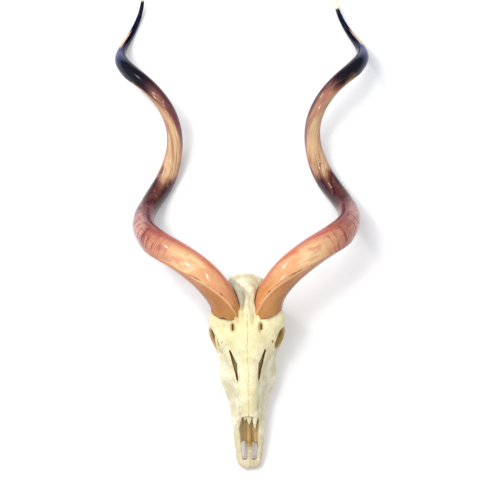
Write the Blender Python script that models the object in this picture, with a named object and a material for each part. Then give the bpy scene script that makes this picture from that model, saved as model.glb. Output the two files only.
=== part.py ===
"""A greater kudu skull, without its lower jaw, with its pair of spiral horns.

It lies on its cheek teeth and on the backs of its horns, face up, as the real one lies on a table.
Lengths are in millimetres while the shapes are worked out, and metres in the scene.
X runs across the face, to its left-hand side as it looks at us, Y from the snout to the horn tips, Z up.
"""

import math
from collections import namedtuple

import bmesh
import bpy
import numpy as np
import openvdb

MM = 0.001                  # one millimetre, in the scene's metres

# The skull, as it lies on its teeth.
FACE_TILT = math.radians(18.0)   # the face slopes down to the snout by this much
FACE_LIFT = 206.4                # height of the point between the horns that the face is measured from
MIDDLE_SHIFT = (-2.2, -137.0)      # puts the middle of the whole thing's outline at the origin
GRID = 2.6                       # size of the cells that the bone's surface is found in
GRID_LOW = (-84.0, -462.0, 2.0)  # corners of the room that they fill, in the lying frame
GRID_HIGH = (84.0, -30.0, 172.0)
FAR = 1000.0                     # farther than anything in that room
BONE_KEPT = 0.06                 # share of the bone's fine faces that is kept
TOOTH_HEIGHT = 14.0              # crowns, from the worn faces that it lies on up to the jaw
GAP = 0.3                        # between pieces that touch
RIM_GAP = 0.9                    # between the bone and a horn's rim
SNOUT_END_OF_TEETH = -330.0      # the bone may reach lower than the crowns' tops only ahead of this
BODY_ROUNDNESS = 2.6             # of the long body's sections: 2 is an ellipse, more is squarer
BODY_NARROWS_FROM = -0.2         # level, -1 under and 1 on top, over which they grow narrower or wider

# One horn: where its line starts in the face frame, the spiral's axis, how it winds, how far its rim is
# moved outwards and up from that start, and how much the rim rises towards the outside.
Horn = namedtuple("Horn", "side base lean splay length quickening start turn winding "
                          "reach reach_slope reach_curve flare_out flare_back rim_move rim_rise")
HORNS = {
    "horn_right": Horn(side=1, base=(47.3, -165.0, -29.0), lean=21.3, splay=11.1, length=688.3,
                       quickening=0.205, start=-99.6, turn=435.1, winding=256.8, reach=100.5,
                       reach_slope=-135.9, reach_curve=80.9, flare_out=-19.7, flare_back=-40.1,
                       rim_move=(-1.6, 15.5), rim_rise=0.24),
    "horn_left": Horn(side=-1, base=(49.8, -169.6, -28.4), lean=21.3, splay=11.5, length=665.4,
                      quickening=0.281, start=-94.9, turn=397.6, winding=290.8, reach=98.3,
                      reach_slope=-126.0, reach_curve=69.9, flare_out=-30.2, flare_back=-31.4,
                      rim_move=(-4.2, 18.1), rim_rise=0.13),
}
FLARE_LENGTH = 0.07              # share of a horn over which it swings off the skull into its spiral
HORN_END = 1.035                 # the ivory point, in shares of the horn's measured length
HORN_RINGS = 62
HORN_SIDES = 16
HORN_RADIUS = ((0.0, 32.0), (0.1, 33.0), (0.2, 31.5), (0.3, 28.0), (0.4, 24.3), (0.5, 22.2),
               (0.62, 18.8), (0.75, 18.2), (0.82, 17.2), (0.86, 13.2), (0.91, 8.6), (0.95, 6.6),
               (0.98, 5.4), (1.0, 4.4), (HORN_END, 2.0))
KEEL_HEIGHT = ((0.0, 0.10), (0.15, 0.16), (0.3, 0.22), (0.6, 0.2), (0.85, 0.16), (HORN_END, 0.05))
KEEL_WIDTH = 0.5                 # radians to each side of the keel's edge
KEEL_SUNK = 0.3                  # share of its height by which the rest of the section lies lower
KEEL_START = math.radians(35.0)  # the keel's place at the rim, ahead of the spiral's outer side
KEEL_SWING = math.radians(45.0)  # and how much further round it soon lies
RIM_DROP = 0.5                   # how much the rim dips towards the front
HORN_ROOM = 37.8                 # radius kept free of bone round the first stretch of a horn
RIM_DIP = 25.0                   # how far that room reaches below the rim's middle
ROOM_BLEND = 1.5                 # softness of the bone's edge there
ROOM_SHARES = np.linspace(0.0, 0.2, 9)   # places along the horn that the room is made through
HORN_SHARP = math.radians(40.0)  # faces that meet at more than this have a sharp edge
TIP_POINT = 0.3                  # the point's height over the last ring, in steps between rings
RIM_LENGTH = 0.03                # share of the horn over which its sections turn square to it

# The bone's long body: place along the face, half-width, top, underside, and how much its top narrows.
FACE_BODY = (
    (-488.5, 14, -41, -50, 0.0), (-483, 21, -39, -52, 0.0), (-472, 25.2, -36, -53, 0.0),
    (-448, 28.5, -32, -56, 0.05), (-422, 31, -28, -62, 0.1), (-397, 33.5, -22, -72, 0.2),
    (-371, 36.5, -18, -84, 0.3), (-345, 41, -15, -95, 0.34), (-320, 49, -12, -106, 0.36),
    (-294, 54.5, -9, -114, 0.36), (-269, 54, -6, -118, 0.3), (-243, 56, -3, -118, 0.12),
    (-217, 58, -1, -104, 0.0), (-190, 58, 0, -92, 0.0), (-160, 52, -1, -86, 0.0),
    (-135, 40, -6, -84, 0.0),
)
# Swellings: centre, radii and how softly they join, in the face frame and then in the lying frame.
# A form off the middle is there twice, once on each side.
FACE_BALLS = {
    "forehead": ((0, -184, -26), (68, 46, 26), 12),
    "horn stalk": ((46, -168, -38), (35, 34, 34), 8),
    "brain case": ((0, -120, -66), (43, 46, 50), 14),
    "ridge between the horns": ((0, -146, -20), (10, 46, 20), 8),
    "brow": ((48, -205, -26), (12, 24, 12), 8),
    "corner of the brow": ((61, -173, -30), (17, 15, 12), 8),
    "cheek swelling": ((44, -286, -78), (14, 34, 17), 14),
    "nasal bones": ((0, -308, -14), (20.5, 96, 12), 4),
}
LYING_BALLS = {
    "condyle": ((17, -62, 42), (12, 15, 17), 5),
    "ear bulla": ((24, -100, 37), (12, 17, 15), 6),
    "jaw joint": ((50, -112, 70), (17, 17, 11), 8),
    "back of the head": ((0, -68, 84), (43, 18, 34), 10),
    "nape crest": ((0, -58, 98), (34, 8, 9), 8),
}
# Bars: start, end, start radius, end radius and how softly they join, in the lying frame.
LYING_BARS = {
    "tooth bed in front": ((29, -304, 26), (37, -250, 28), 12, 14, 10),
    "tooth bed behind": ((37, -250, 28), (41, -200, 30), 14, 13, 10),
    "cheek below the eye": ((48, -226, 70), (60, -200, 66), 10, 8.5, 10),
    "cheek arch in front": ((60, -200, 66), (70, -165, 66), 8, 6.5, 6),
    "cheek arch behind": ((70, -165, 66), (56, -112, 74), 6.5, 8, 6),
    "base of the skull": ((0, -66, 40), (0, -165, 50), 13, 11, 8),
    "muscle process": ((37, -76, 60), (38, -68, 17), 9, 4.5, 6),
    "wing of the palate": ((15, -196, 34), (14, -158, 52), 5, 5, 5),
    "ear tube": ((38, -98, 62), (56, -92, 78), 8, 6, 5),
    "shoulder of the brain case": ((0, -66, 117), (25, -68, 116), 15.5, 14, 10),
}
# Hollows, in the same order. The slots are cut straight down from the face to their last number's depth.
FACE_BALL_HOLLOWS = {
    "hollow beside the snout": ((46, -352, -30), (17, 44, 22), 10),
    "hollow beside the ridge": ((30, -118, -4), (20, 32, 24), 8),
    "valley beside the ridge": ((15, -150, 4), (9.5, 28, 15), 6),
    "dip round the brow slit": ((30, -184, 3), (6.5, 13, 9), 4),
    "notch between the front bones": ((0, -490, -44), (1.8, 6.5, 16), 2),
}
FACE_BAR_HOLLOWS = {
    "nose opening": ((0, -388, -21), (0, -428, -33), 21.5, 19.0, 3),
}
FACE_SLOTS = {
    "brow slit": ((30, -178, -16), (30, -188, -16), 1.1, 2.0, 1),
    "upper slit beside the nose": ((37.5, -233, -36), (27.5, -262, -36), 1.2, 4.2, 1),
    "lower slit beside the nose": ((27.5, -262, -36), (22.5, -296, -36), 4.2, 1.1, 1),
    "slit in the palate": ((11.5, -437, -99), (10, -465, -99), 6.5, 5.4, 1),
}
LYING_BALL_HOLLOWS = {
    "eye socket": ((71, -186, 97), (36, 22, 21), 3),
    "temple": ((60, -126, 104), (13, 28, 26), 6),
    "brain room": ((0, -92, 88), (27, 26, 26), 3),
    "roof of the mouth": ((0, -262, 6), (24, 84, 24), 8),
    "throat side of the nose": ((0, -188, 52), (11, 32, 13), 4),
}
LYING_BAR_HOLLOWS = {
    "great hole of the head": ((0, -30, 56), (0, -84, 62), 11.5, 11.5, 3),
    "side of the snout": ((0, -330, 4), (0, -430, -2), 18, 12, 8),
}
# A hollow on one side only, in the face frame.
LONE_HOLLOWS = {
    "hollow left of the crest": ((-15, -124, -4), (11.5, 27, 20), 3),
}
# What is added after the hollows: the eye's ring (centre, facing, radius, thickness, blend), and bars in
# the face frame, each on one side only.
EYE_RING = ((65.5, -185, 96), (0.88, -0.42, 0.24), 26.5, 4.7, 5)
LONE_BARS = {
    "left outer point": ((-17, -362, -14), (-23.5, -398, -20), 7.0, 3.0, 2),
    "left inner point": ((-8.8, -366, -15), (-8.3, -381, -15), 6.0, 1.2, 1.5),
    "right inner point": ((0.3, -365, -16), (0.6, -390, -16), 9.5, 1.2, 1.5),
    "right outer point": ((12.2, -365, -17), (12.2, -398, -20), 9.0, 1.4, 1.5),
    "middle wall of the nose": ((-1.5, -372, -42), (0, -440, -50), 5.6, 5.6, 3),
    "right scroll of the nose": ((13, -378, -42), (13.5, -432, -48), 5.2, 4.6, 3),
    "left scroll of the nose": ((-19, -384, -40), (-18, -430, -46), 4.0, 4.0, 3),
    "crest right of the middle": ((8, -106, -24), (5, -172, -9), 9.5, 8.0, 9),
    "lip of the left eye socket": ((-66, -190, -31), (-61, -230, -42), 5.0, 4.5, 6),
}
# Cheek teeth from the front: name, length along the jaw, width across it.
TEETH = (("premolar_1", 12.5, 11.5), ("premolar_2", 14.0, 13.5), ("premolar_3", 14.5, 15.5),
         ("molar_1", 18.0, 17.5), ("molar_2", 20.5, 18.5), ("molar_3", 21.0, 17.5))
TOOTH_ROW_START = (29.0, -305.0)  # front end of the row, in the lying frame
TOOTH_ROW_SPREAD = math.radians(12.0)   # its direction at the front, away from straight back
TOOTH_ROW_CLOSING = math.radians(2.0)   # by which each tooth turns back in
TOOTH_SPACE = 0.6
TOOTH_SIDES = 12
TOOTH_SQUARENESS = 0.7           # of the outline: 1 is an ellipse, less is squarer
TOOTH_WAIST = 0.13               # share of the width by which it is waisted between its two lobes
TOOTH_WAIST_LENGTH = 0.3         # share of half the length that the waist takes
CROWN_LEVELS = ((0.0, 0.9), (4.0, 0.97), (TOOTH_HEIGHT, 1.0))   # height, and share of the full outline

# Colour and roughness.
BONE_LOOK = ((0.80, 0.74, 0.58, 1.0), 0.6)
TOOTH_LOOK = ((0.78, 0.72, 0.60, 1.0), 0.35)
HORN_LOOK = ((0.42, 0.22, 0.10, 1.0), 0.15)


def clear_scene():
    """Empty the scene that Blender starts with."""
    for thing in list(bpy.data.objects):
        bpy.data.objects.remove(thing, do_unlink=True)


def material(name, colour, roughness):
    """A plain surface of one colour."""
    surface = bpy.data.materials.new(name)
    surface.use_nodes = True
    shader = surface.node_tree.nodes["Principled BSDF"]
    shader.inputs["Base Color"].default_value = colour
    shader.inputs["Roughness"].default_value = roughness
    shader.inputs["Metallic"].default_value = 0.0
    return surface


def add_object(name, points, faces, surface):
    """Put points (metres) and faces into an object of their own."""
    mesh = bpy.data.meshes.new(name)
    mesh.from_pydata(points.tolist(), [], faces)
    thing = bpy.data.objects.new(name, mesh)
    bpy.context.collection.objects.link(thing)
    mesh.materials.append(surface)
    build = bmesh.new()
    build.from_mesh(mesh)
    bmesh.ops.recalc_face_normals(build, faces=build.faces)
    build.to_mesh(mesh)
    build.free()
    return thing


def flow(where, stations):
    """A smooth curve through stations, pairs of place and value, read at where."""
    places, values = np.array(stations, float).T
    slopes = np.gradient(values, places)
    step = np.clip(np.searchsorted(places, where) - 1, 0, len(places) - 2)
    run = places[step + 1] - places[step]
    t = np.clip((where - places[step]) / run, 0.0, 1.0)
    rise_part = values[step] * (1 + 2 * t) * (1 - t) ** 2 + values[step + 1] * t * t * (3 - 2 * t)
    return rise_part + run * t * (1 - t) * (slopes[step] * (1 - t) - slopes[step + 1] * t)


def lying(face_points):
    """Turn points of the face frame (x across, y up the face, z out of it) to how the skull lies."""
    x, y, z = np.moveaxis(face_points, -1, 0)
    along = y * math.cos(FACE_TILT) - z * math.sin(FACE_TILT)
    height = y * math.sin(FACE_TILT) + z * math.cos(FACE_TILT) + FACE_LIFT
    return np.stack([x, along, height], axis=-1)


def face_frame(x, along, height):
    """The face frame's coordinates of points of the lying frame."""
    up = height - FACE_LIFT
    y = along * math.cos(FACE_TILT) + up * math.sin(FACE_TILT)
    z = up * math.cos(FACE_TILT) - along * math.sin(FACE_TILT)
    return x, y, z


def placed(points):
    """Millimetres of the lying frame to the scene's metres, with the whole thing centred."""
    return (points + np.array([*MIDDLE_SHIFT, 0.0])) * MM


def join(first, second, blend):
    """Both forms in one, with a fillet about as wide as blend where they meet."""
    overlap = np.maximum(blend - np.abs(first - second), 0.0)
    return np.minimum(first, second) - overlap * overlap / (4 * blend)


def cut(solid, hollow, blend):
    """A form with a hollow taken out of it."""
    return -join(-solid, hollow, blend)


def ball(place, centre, radii):
    """Distance to an egg-shaped form, roughly: below zero inside."""
    near = [(p - c) / r for p, c, r in zip(place, centre, radii)]
    size = np.sqrt(sum(n * n for n in near))
    slope = np.sqrt(sum((n / r) ** 2 for n, r in zip(near, radii)))
    return size * (size - 1) / np.maximum(slope, 1e-6)


def bar(place, start, end, start_radius, end_radius):
    """Distance to a round bar from start to end, whose radius changes evenly."""
    run = np.subtract(end, start).astype(float)
    share = sum((p - s) * r for p, s, r in zip(place, start, run)) / (run @ run)
    share = np.clip(share, 0.0, 1.0)
    gap = np.sqrt(sum((p - s - share * r) ** 2 for p, s, r in zip(place, start, run)))
    return gap - (start_radius + (end_radius - start_radius) * share)


def slot(place, start, end, start_radius, end_radius):
    """Distance to a slot cut straight down from the face, down to the depth of its start."""
    flat = bar(place[:2], start[:2], end[:2], start_radius, end_radius)
    return np.maximum(flat, start[2] - place[2])


def ring(place, centre, facing, radius, thickness):
    """Distance to a round ring."""
    normal = np.array(facing) / np.linalg.norm(facing)
    out = [p - c for p, c in zip(place, centre)]
    rise = sum(o * n for o, n in zip(out, normal))
    flat = np.sqrt(np.maximum(sum(o * o for o in out) - rise * rise, 0.0))
    return np.sqrt((flat - radius) ** 2 + rise * rise) - thickness


def face_body(face):
    """The long body of the skull: a rounded box at each place along the face, narrower at its top."""
    x, y, z = face
    table = np.array(FACE_BODY, float)
    half_width, top, under, narrowing = (flow(y, table[:, [0, k]]) for k in (1, 2, 3, 4))
    middle, half_height = (top + under) / 2, (top - under) / 2
    level = (z - middle) / half_height
    wide = half_width * (1 - narrowing * np.clip(level, BODY_NARROWS_FROM, 1.0))
    size = np.abs(x / wide) ** BODY_ROUNDNESS + np.abs(level) ** BODY_ROUNDNESS
    inner = (size ** (1 / BODY_ROUNDNESS) - 1) * np.minimum(wide, half_height)
    ends = np.maximum(table[0, 0] - y, y - table[-1, 0])
    return np.maximum(inner, ends)


def spiral(horn, share):
    """A horn's middle line in the face frame, with its outward direction from the spiral's axis.

    The line winds round a straight axis that leans back from the face and splays outwards. Its
    distance from the axis, the climb along it and the turn about it each follow a simple curve.
    """
    lean, splay = math.radians(horn.lean), math.radians(horn.splay)
    axis = np.array([math.sin(splay) * math.cos(lean), math.cos(splay) * math.cos(lean), -math.sin(lean)])
    front = np.array([0.0, 0.0, 1.0]) - axis * axis[2]
    front /= np.linalg.norm(front)
    outer = np.cross(axis, front)
    angle = np.radians(horn.start + horn.turn * share + horn.winding * share ** 2)
    reach = horn.reach + horn.reach_slope * share + horn.reach_curve * share ** 2
    climb = horn.length * (share + horn.quickening * share ** 2)
    away = np.outer(np.cos(angle), front) + np.outer(np.sin(angle), outer)
    first = horn.reach * (math.cos(math.radians(horn.start)) * front
                          + math.sin(math.radians(horn.start)) * outer)
    swing = (1 - np.exp(-share / FLARE_LENGTH))[:, None]
    flare = swing * np.array([horn.flare_out, 0.0, horn.flare_back])
    line = np.array(horn.base) + np.outer(climb, axis) + away * reach[:, None] - first + flare
    line += np.outer(np.exp(-share / RIM_LENGTH), (*horn.rim_move, 0.0))
    ahead = KEEL_START + KEEL_SWING * swing[:, 0]
    keel = (np.cos(angle + ahead)[:, None] * front + np.sin(angle + ahead)[:, None] * outer)
    return line, keel


def horn_rings(horn, rings, sides):
    """A horn's surface in the face frame: a round section with a keel, carried along its spiral."""
    share = HORN_END * np.linspace(0, 1, rings)
    line, keel = spiral(horn, share)
    forward = np.gradient(line, axis=0)
    forward /= np.linalg.norm(forward, axis=1)[:, None]
    keel -= forward * (keel * forward).sum(axis=1)[:, None]
    keel /= np.linalg.norm(keel, axis=1)[:, None]
    across = np.cross(forward, keel)
    around = 2 * math.pi * np.arange(sides) / sides
    off_keel = np.minimum(around, 2 * math.pi - around)
    radius = flow(share, HORN_RADIUS)[:, None]
    height = flow(share, KEEL_HEIGHT)[:, None]
    section = radius * (1 + height * (np.exp(-off_keel / KEEL_WIDTH) - KEEL_SUNK))
    spread = (np.cos(around)[None, :, None] * keel[:, None] + np.sin(around)[None, :, None] * across[:, None])
    points = line[:, None] + section[:, :, None] * spread
    out, rise, front = np.moveaxis(points - line[:, None], -1, 0)
    at_rim = np.exp(-share / RIM_LENGTH)[:, None]
    slant = horn.rim_rise * out - RIM_DROP * front
    points[..., 1] += at_rim * (slant - rise)
    points[..., 0] *= horn.side
    return points


def rim_plane(horn):
    """A point of the rim's flat face and its direction, up the horn, in the face frame."""
    normal = np.array([-horn.rim_rise, 1.0, RIM_DROP])
    normal /= np.linalg.norm(normal)
    centre = np.array(horn.base) + (*horn.rim_move, 0.0)
    return centre * (horn.side, 1, 1), normal * (horn.side, 1, 1)


def make_horn(name, horn, surface):
    """One horn, closed flat at its rim and rounded at its point."""
    points = lying(horn_rings(horn, HORN_RINGS, HORN_SIDES))
    points[..., 2] = np.maximum(points[..., 2], 0.0)
    last_middle = points[-1].mean(axis=0)
    tip = last_middle + (last_middle - points[-2].mean(axis=0)) * TIP_POINT
    flat = placed(np.vstack([points.reshape(-1, 3), tip]))
    ring_start = np.arange(HORN_RINGS - 1)[:, None] * HORN_SIDES
    side = np.arange(HORN_SIDES)[None]
    nxt = (side + 1) % HORN_SIDES
    quads = np.stack([ring_start + side, ring_start + nxt,
                      ring_start + HORN_SIDES + nxt, ring_start + HORN_SIDES + side], axis=-1)
    faces = quads.reshape(-1, 4).tolist()
    faces.append(list(range(HORN_SIDES)))
    last = (HORN_RINGS - 1) * HORN_SIDES
    faces += [[last + k, last + (k + 1) % HORN_SIDES, HORN_RINGS * HORN_SIDES] for k in range(HORN_SIDES)]
    thing = add_object(name, flat, faces, surface)
    thing.data.shade_smooth()
    thing.data.set_sharp_from_angle(angle=HORN_SHARP)
    return thing


def skull_field(x, along, height):
    """Below zero inside the bone, above zero outside, about the distance to its surface in millimetres."""
    lying_place = (np.abs(x), along, height)
    face = face_frame(np.abs(x), along, height)
    bone = face_body(face)
    for centre, radii, blend in FACE_BALLS.values():
        bone = join(bone, ball(face, centre, radii), blend)
    for centre, radii, blend in LYING_BALLS.values():
        bone = join(bone, ball(lying_place, centre, radii), blend)
    for *form, blend in LYING_BARS.values():
        bone = join(bone, bar(lying_place, *form), blend)
    bone = cut_hollows(bone, FACE_BALL_HOLLOWS, ball, face)
    bone = cut_hollows(bone, LYING_BALL_HOLLOWS, ball, lying_place)
    bone = cut_hollows(bone, FACE_BAR_HOLLOWS, bar, face)
    bone = cut_hollows(bone, LYING_BAR_HOLLOWS, bar, lying_place)
    bone = cut_hollows(bone, FACE_SLOTS, slot, face)
    unmirrored = face_frame(x, along, height)
    bone = cut_hollows(bone, LONE_HOLLOWS, ball, unmirrored)
    *form, blend = EYE_RING
    bone = join(bone, ring(lying_place, *form), blend)
    for *form, blend in LONE_BARS.values():
        bone = join(bone, bar(unmirrored, *form), blend)
    over_teeth = TOOTH_HEIGHT + GAP - height
    bone = np.maximum(bone, np.where(along < SNOUT_END_OF_TEETH, -FAR, over_teeth))
    for horn in HORNS.values():
        bone = leave_room_for(horn, bone, unmirrored)
    return bone


def cut_hollows(bone, hollows, form_of, place):
    """Take a table of hollows out of the bone."""
    for *form, blend in hollows.values():
        bone = cut(bone, form_of(place, *form), blend)
    return bone


def leave_room_for(horn, bone, face):
    """End the bone flat under a horn's rim, and keep it clear of the horn above."""
    centre, normal = rim_plane(horn)
    past_rim = sum((p - c) * n for p, c, n in zip(face, centre, normal)) + RIM_GAP
    line, _ = spiral(horn, ROOM_SHARES)
    line = np.vstack([line[0] - (0, RIM_DIP, 0), line]) * (horn.side, 1, 1)
    room = np.full_like(bone, FAR)
    for start, end in zip(line[:-1], line[1:]):
        room = np.minimum(room, bar(face, start, end, HORN_ROOM, HORN_ROOM))
    return cut(bone, np.maximum(room, -past_rim), ROOM_BLEND)


def make_skull(surface):
    """The bone: its surface is found in a grid of cells, then thinned to fewer faces."""
    low, high = np.array(GRID_LOW), np.array(GRID_HIGH)
    counts = np.ceil((high - low) / GRID).astype(int) + 1
    axes = [low[k] + GRID * np.arange(counts[k]) for k in range(3)]
    x, along, height = np.meshgrid(*axes, indexing="ij")
    grid = openvdb.FloatGrid()
    grid.copyFromArray(skull_field(x, along, height).astype(np.float32))
    points, quads = grid.convertToQuads(isovalue=0.0)
    thing = add_object("skull", placed(points * GRID + low), quads.tolist(), surface)
    thin = thing.modifiers.new("fewer faces", "DECIMATE")
    thin.ratio = BONE_KEPT
    thin.use_collapse_triangulate = True
    thing.data.shade_smooth()
    return thing


def tooth_outline(length, width):
    """A cheek tooth seen from the root: two rounded lobes along the jaw, waisted between them."""
    around = 2 * math.pi * np.arange(TOOTH_SIDES) / TOOTH_SIDES
    u, v = np.cos(around), np.sin(around)
    waist = 1 - TOOTH_WAIST * np.abs(v) * (np.abs(u) < TOOTH_WAIST_LENGTH)
    along = np.sign(u) * np.abs(u) ** TOOTH_SQUARENESS * length / 2
    across = np.sign(v) * np.abs(v) ** TOOTH_SQUARENESS * width / 2 * waist
    return across, along


def make_teeth(surface):
    """Both rows of six cheek teeth, from the front, each crown a little wider at the jaw."""
    for side, side_name in ((1, "right"), (-1, "left")):
        place = np.array(TOOTH_ROW_START)
        heading = TOOTH_ROW_SPREAD
        for name, length, width in TEETH:
            direction = np.array([math.sin(heading), math.cos(heading)])
            centre = place + direction * length / 2
            across, along = tooth_outline(length, width)
            levels = []
            for height, size in CROWN_LEVELS:
                px = centre[0] + (across * direction[1] + along * direction[0]) * size
                py = centre[1] + (along * direction[1] - across * direction[0]) * size
                levels.append(np.stack([px * side, py, np.full_like(px, height)], axis=-1))
            faces = [list(range(TOOTH_SIDES)), list(range(2 * TOOTH_SIDES, 3 * TOOTH_SIDES))]
            for base in (0, TOOTH_SIDES):
                above = base + TOOTH_SIDES
                faces += [[base + k, base + (k + 1) % TOOTH_SIDES, above + (k + 1) % TOOTH_SIDES,
                           above + k] for k in range(TOOTH_SIDES)]
            add_object(f"tooth_{side_name}_{name}", placed(np.vstack(levels)), faces, surface)
            place = place + direction * (length + TOOTH_SPACE)
            heading -= TOOTH_ROW_CLOSING


def main():
    clear_scene()
    make_skull(material("bone", *BONE_LOOK))
    horn_surface = material("polished horn", *HORN_LOOK)
    for name, horn in HORNS.items():
        make_horn(name, horn, horn_surface)
    make_teeth(material("tooth enamel", *TOOTH_LOOK))


main()
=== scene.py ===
"""A greater kudu skull, without its lower jaw, with its pair of polished spiral horns.

It lies face up on a pale floor, on its cheek teeth and on the backs of its horns, and is seen from
above.
Shapes are worked out in millimetres in the face frame (x across, y up the face, z out of it) or in the
lying frame (x across, y along the floor, z up), and put into the meshes in metres of the row's frame.
"""

import logging
import math
from collections.abc import Sequence
from dataclasses import dataclass, field
from enum import Enum

import bmesh
import bpy
import numpy as np
import openvdb
from mathutils import Matrix

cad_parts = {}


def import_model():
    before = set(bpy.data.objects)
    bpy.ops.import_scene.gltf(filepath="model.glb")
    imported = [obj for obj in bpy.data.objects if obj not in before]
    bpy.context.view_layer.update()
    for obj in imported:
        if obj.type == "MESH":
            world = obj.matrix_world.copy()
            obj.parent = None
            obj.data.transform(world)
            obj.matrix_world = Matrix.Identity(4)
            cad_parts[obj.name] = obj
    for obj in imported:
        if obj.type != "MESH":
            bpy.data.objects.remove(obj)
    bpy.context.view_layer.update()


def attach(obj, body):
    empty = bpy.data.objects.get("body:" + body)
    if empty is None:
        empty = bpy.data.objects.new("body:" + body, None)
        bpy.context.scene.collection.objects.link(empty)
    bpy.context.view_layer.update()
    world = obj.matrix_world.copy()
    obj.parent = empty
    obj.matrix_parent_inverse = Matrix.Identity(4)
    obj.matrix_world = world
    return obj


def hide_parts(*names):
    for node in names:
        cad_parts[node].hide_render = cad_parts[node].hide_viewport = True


MM = 0.001
BODY = "root"

Array = np.ndarray
Place = tuple[Array, Array, Array]
Triple = tuple[float, float, float]
Colour = tuple[int, int, int]
Ramp = tuple[tuple[float, Colour], ...]
Stations = Sequence[tuple[float, ...]]
Socket = bpy.types.NodeSocket
Node = bpy.types.Node
Tree = bpy.types.NodeTree
LOG = logging.getLogger("kudu")


class Slot(Enum):
    """The record's material slots."""

    BONE = "bone"
    HORN = "horn"
    TOOTH = "tooth"


@dataclass(frozen=True)
class Lie:
    """How the skull lies: its face tilted, lifted and moved from its own frame into the row's."""

    tilt: float = math.radians(18.0)
    lift: float = 206.4
    shift: tuple[float, float] = (-2.2, -137.0)

    def turned(self, vectors: Array) -> Array:
        """Turn vectors of the face frame about the x axis by the tilt.

        Args:
            vectors: Rows of x, y, z.

        Returns:
            The same vectors as they point in the lying frame.
        """
        x, y, z = np.moveaxis(np.asarray(vectors, float), -1, 0)
        return np.stack([x, y * math.cos(self.tilt) - z * math.sin(self.tilt),
                         y * math.sin(self.tilt) + z * math.cos(self.tilt)], axis=-1)

    def lying(self, face_points: Array) -> Array:
        """Points of the face frame in the lying frame: turned, then lifted."""
        return self.turned(face_points) + np.array([0.0, 0.0, self.lift])

    def face(self, place: Place) -> Place:
        """Points of the lying frame in the face frame: let down, then turned back.

        Args:
            place: Arrays of x, of the place along the floor and of the height.

        Returns:
            Arrays of x, y and z in the face frame.
        """
        x, along, height = place
        up = height - self.lift
        return (x, along * math.cos(self.tilt) + up * math.sin(self.tilt),
                up * math.cos(self.tilt) - along * math.sin(self.tilt))

    def row(self, lying_points: Array) -> Array:
        """Millimetres of the lying frame in metres of the row's frame."""
        return (lying_points + np.array([*self.shift, 0.0])) * MM


LIE = Lie()


def flow(where: Array, stations: Stations, column: int = 1) -> Array:
    """Read a smooth curve: a cubic through each pair of stations that keeps their average slopes.

    Args:
        where: Places to read it at.
        stations: Rows that start with a place.
        column: Which number of each row is the value.

    Returns:
        The values at those places, level beyond both ends.
    """
    table = np.array(stations, float)
    places, values = table[:, 0], table[:, column]
    slopes = np.gradient(values, places)
    step = np.clip(np.searchsorted(places, where) - 1, 0, len(places) - 2)
    run = places[step + 1] - places[step]
    t = np.clip((where - places[step]) / run, 0.0, 1.0)
    level = values[step] * (1 + 2 * t) * (1 - t) ** 2 + values[step + 1] * t * t * (3 - 2 * t)
    return level + run * t * (1 - t) * (slopes[step] * (1 - t) - slopes[step + 1] * t)


def bump_at(where: Array, centre: float, width: float) -> Array:
    """A bell curve: one at its centre, and about a third at one width from it."""
    return np.exp(-(((where - centre) / width) ** 2))


def fade(value: Array, end: Array | float, run: float) -> Array:
    """One far below the end, falling straight to zero over a run before it."""
    return np.clip((end - value) / run, 0.0, 1.0)


def undulation(place: Place, wavelength: float, seed: int) -> Array:
    """Natural unevenness from about -1 to 1: a sum of sine waves that run in seeded directions.

    Args:
        place: Arrays of the three coordinates, in millimetres.
        wavelength: The waves' length, in millimetres, each varied by up to a third.
        seed: Start of the fixed random draw.

    Returns:
        The sum of the waves over half their count.
    """
    draw = np.random.default_rng(seed)
    waves = 7
    directions = draw.normal(size=(waves, 3))
    directions /= np.linalg.norm(directions, axis=1)[:, None]
    total = np.zeros_like(place[0])
    for direction, phase, pace in zip(directions, draw.uniform(0, 2 * math.pi, waves),
                                      draw.uniform(0.7, 1.35, waves)):
        run = sum(p * d for p, d in zip(place, direction))
        total += np.sin(run * (2 * math.pi * pace / wavelength) + phase)
    return total * (2 / waves)


def join(first: Array, second: Array, blend: float) -> Array:
    """Both forms in one: the smaller distance, with a fillet about as wide as blend at the join."""
    overlap = np.maximum(blend - np.abs(first - second), 0.0)
    return np.minimum(first, second) - overlap * overlap / (4 * blend)


def cut(solid: Array, hollow: Array, blend: float) -> Array:
    """A form with a hollow taken out of it: the join of their outsides, turned inside out."""
    return -join(-solid, hollow, blend)


def ball(place: Place, centre: Sequence[float], radii: Sequence[float]) -> Array:
    """Distance to an egg-shaped form: how far its scaled radius is from one, over the slope there.

    Args:
        place: Arrays of coordinates.
        centre: The middle of the form.
        radii: Its three half widths.

    Returns:
        The distances, below zero inside.
    """
    near = [(p - c) / r for p, c, r in zip(place, centre, radii)]
    size = np.sqrt(sum(n * n for n in near))
    slope = np.sqrt(sum((n / r) ** 2 for n, r in zip(near, radii)))
    return size * (size - 1) / np.maximum(slope, 1e-6)


def bar(place: Sequence[Array], start: Sequence[float], end: Sequence[float],
        start_radius: float, end_radius: float) -> Array:
    """Distance to a round bar: to the nearest point of its middle line, less the radius there.

    Args:
        place: Arrays of two or three coordinates.
        start: One end of the middle line.
        end: Its other end.
        start_radius: The radius at the start.
        end_radius: The radius at the end.

    Returns:
        The distances, below zero inside.
    """
    run = np.subtract(end, start).astype(float)
    share = sum((p - s) * r for p, s, r in zip(place, start, run)) / (run @ run)
    share = np.clip(share, 0.0, 1.0)
    gap = np.sqrt(sum((p - s - share * r) ** 2 for p, s, r in zip(place, start, run)))
    return gap - (start_radius + (end_radius - start_radius) * share)


def slot_down(place: Place, start: Sequence[float], end: Sequence[float],
              start_radius: float, end_radius: float) -> Array:
    """Distance to a slot cut straight down from the face, as deep as its start."""
    flat = bar(place[:2], start[:2], end[:2], start_radius, end_radius)
    return np.maximum(flat, start[2] - place[2])


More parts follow.
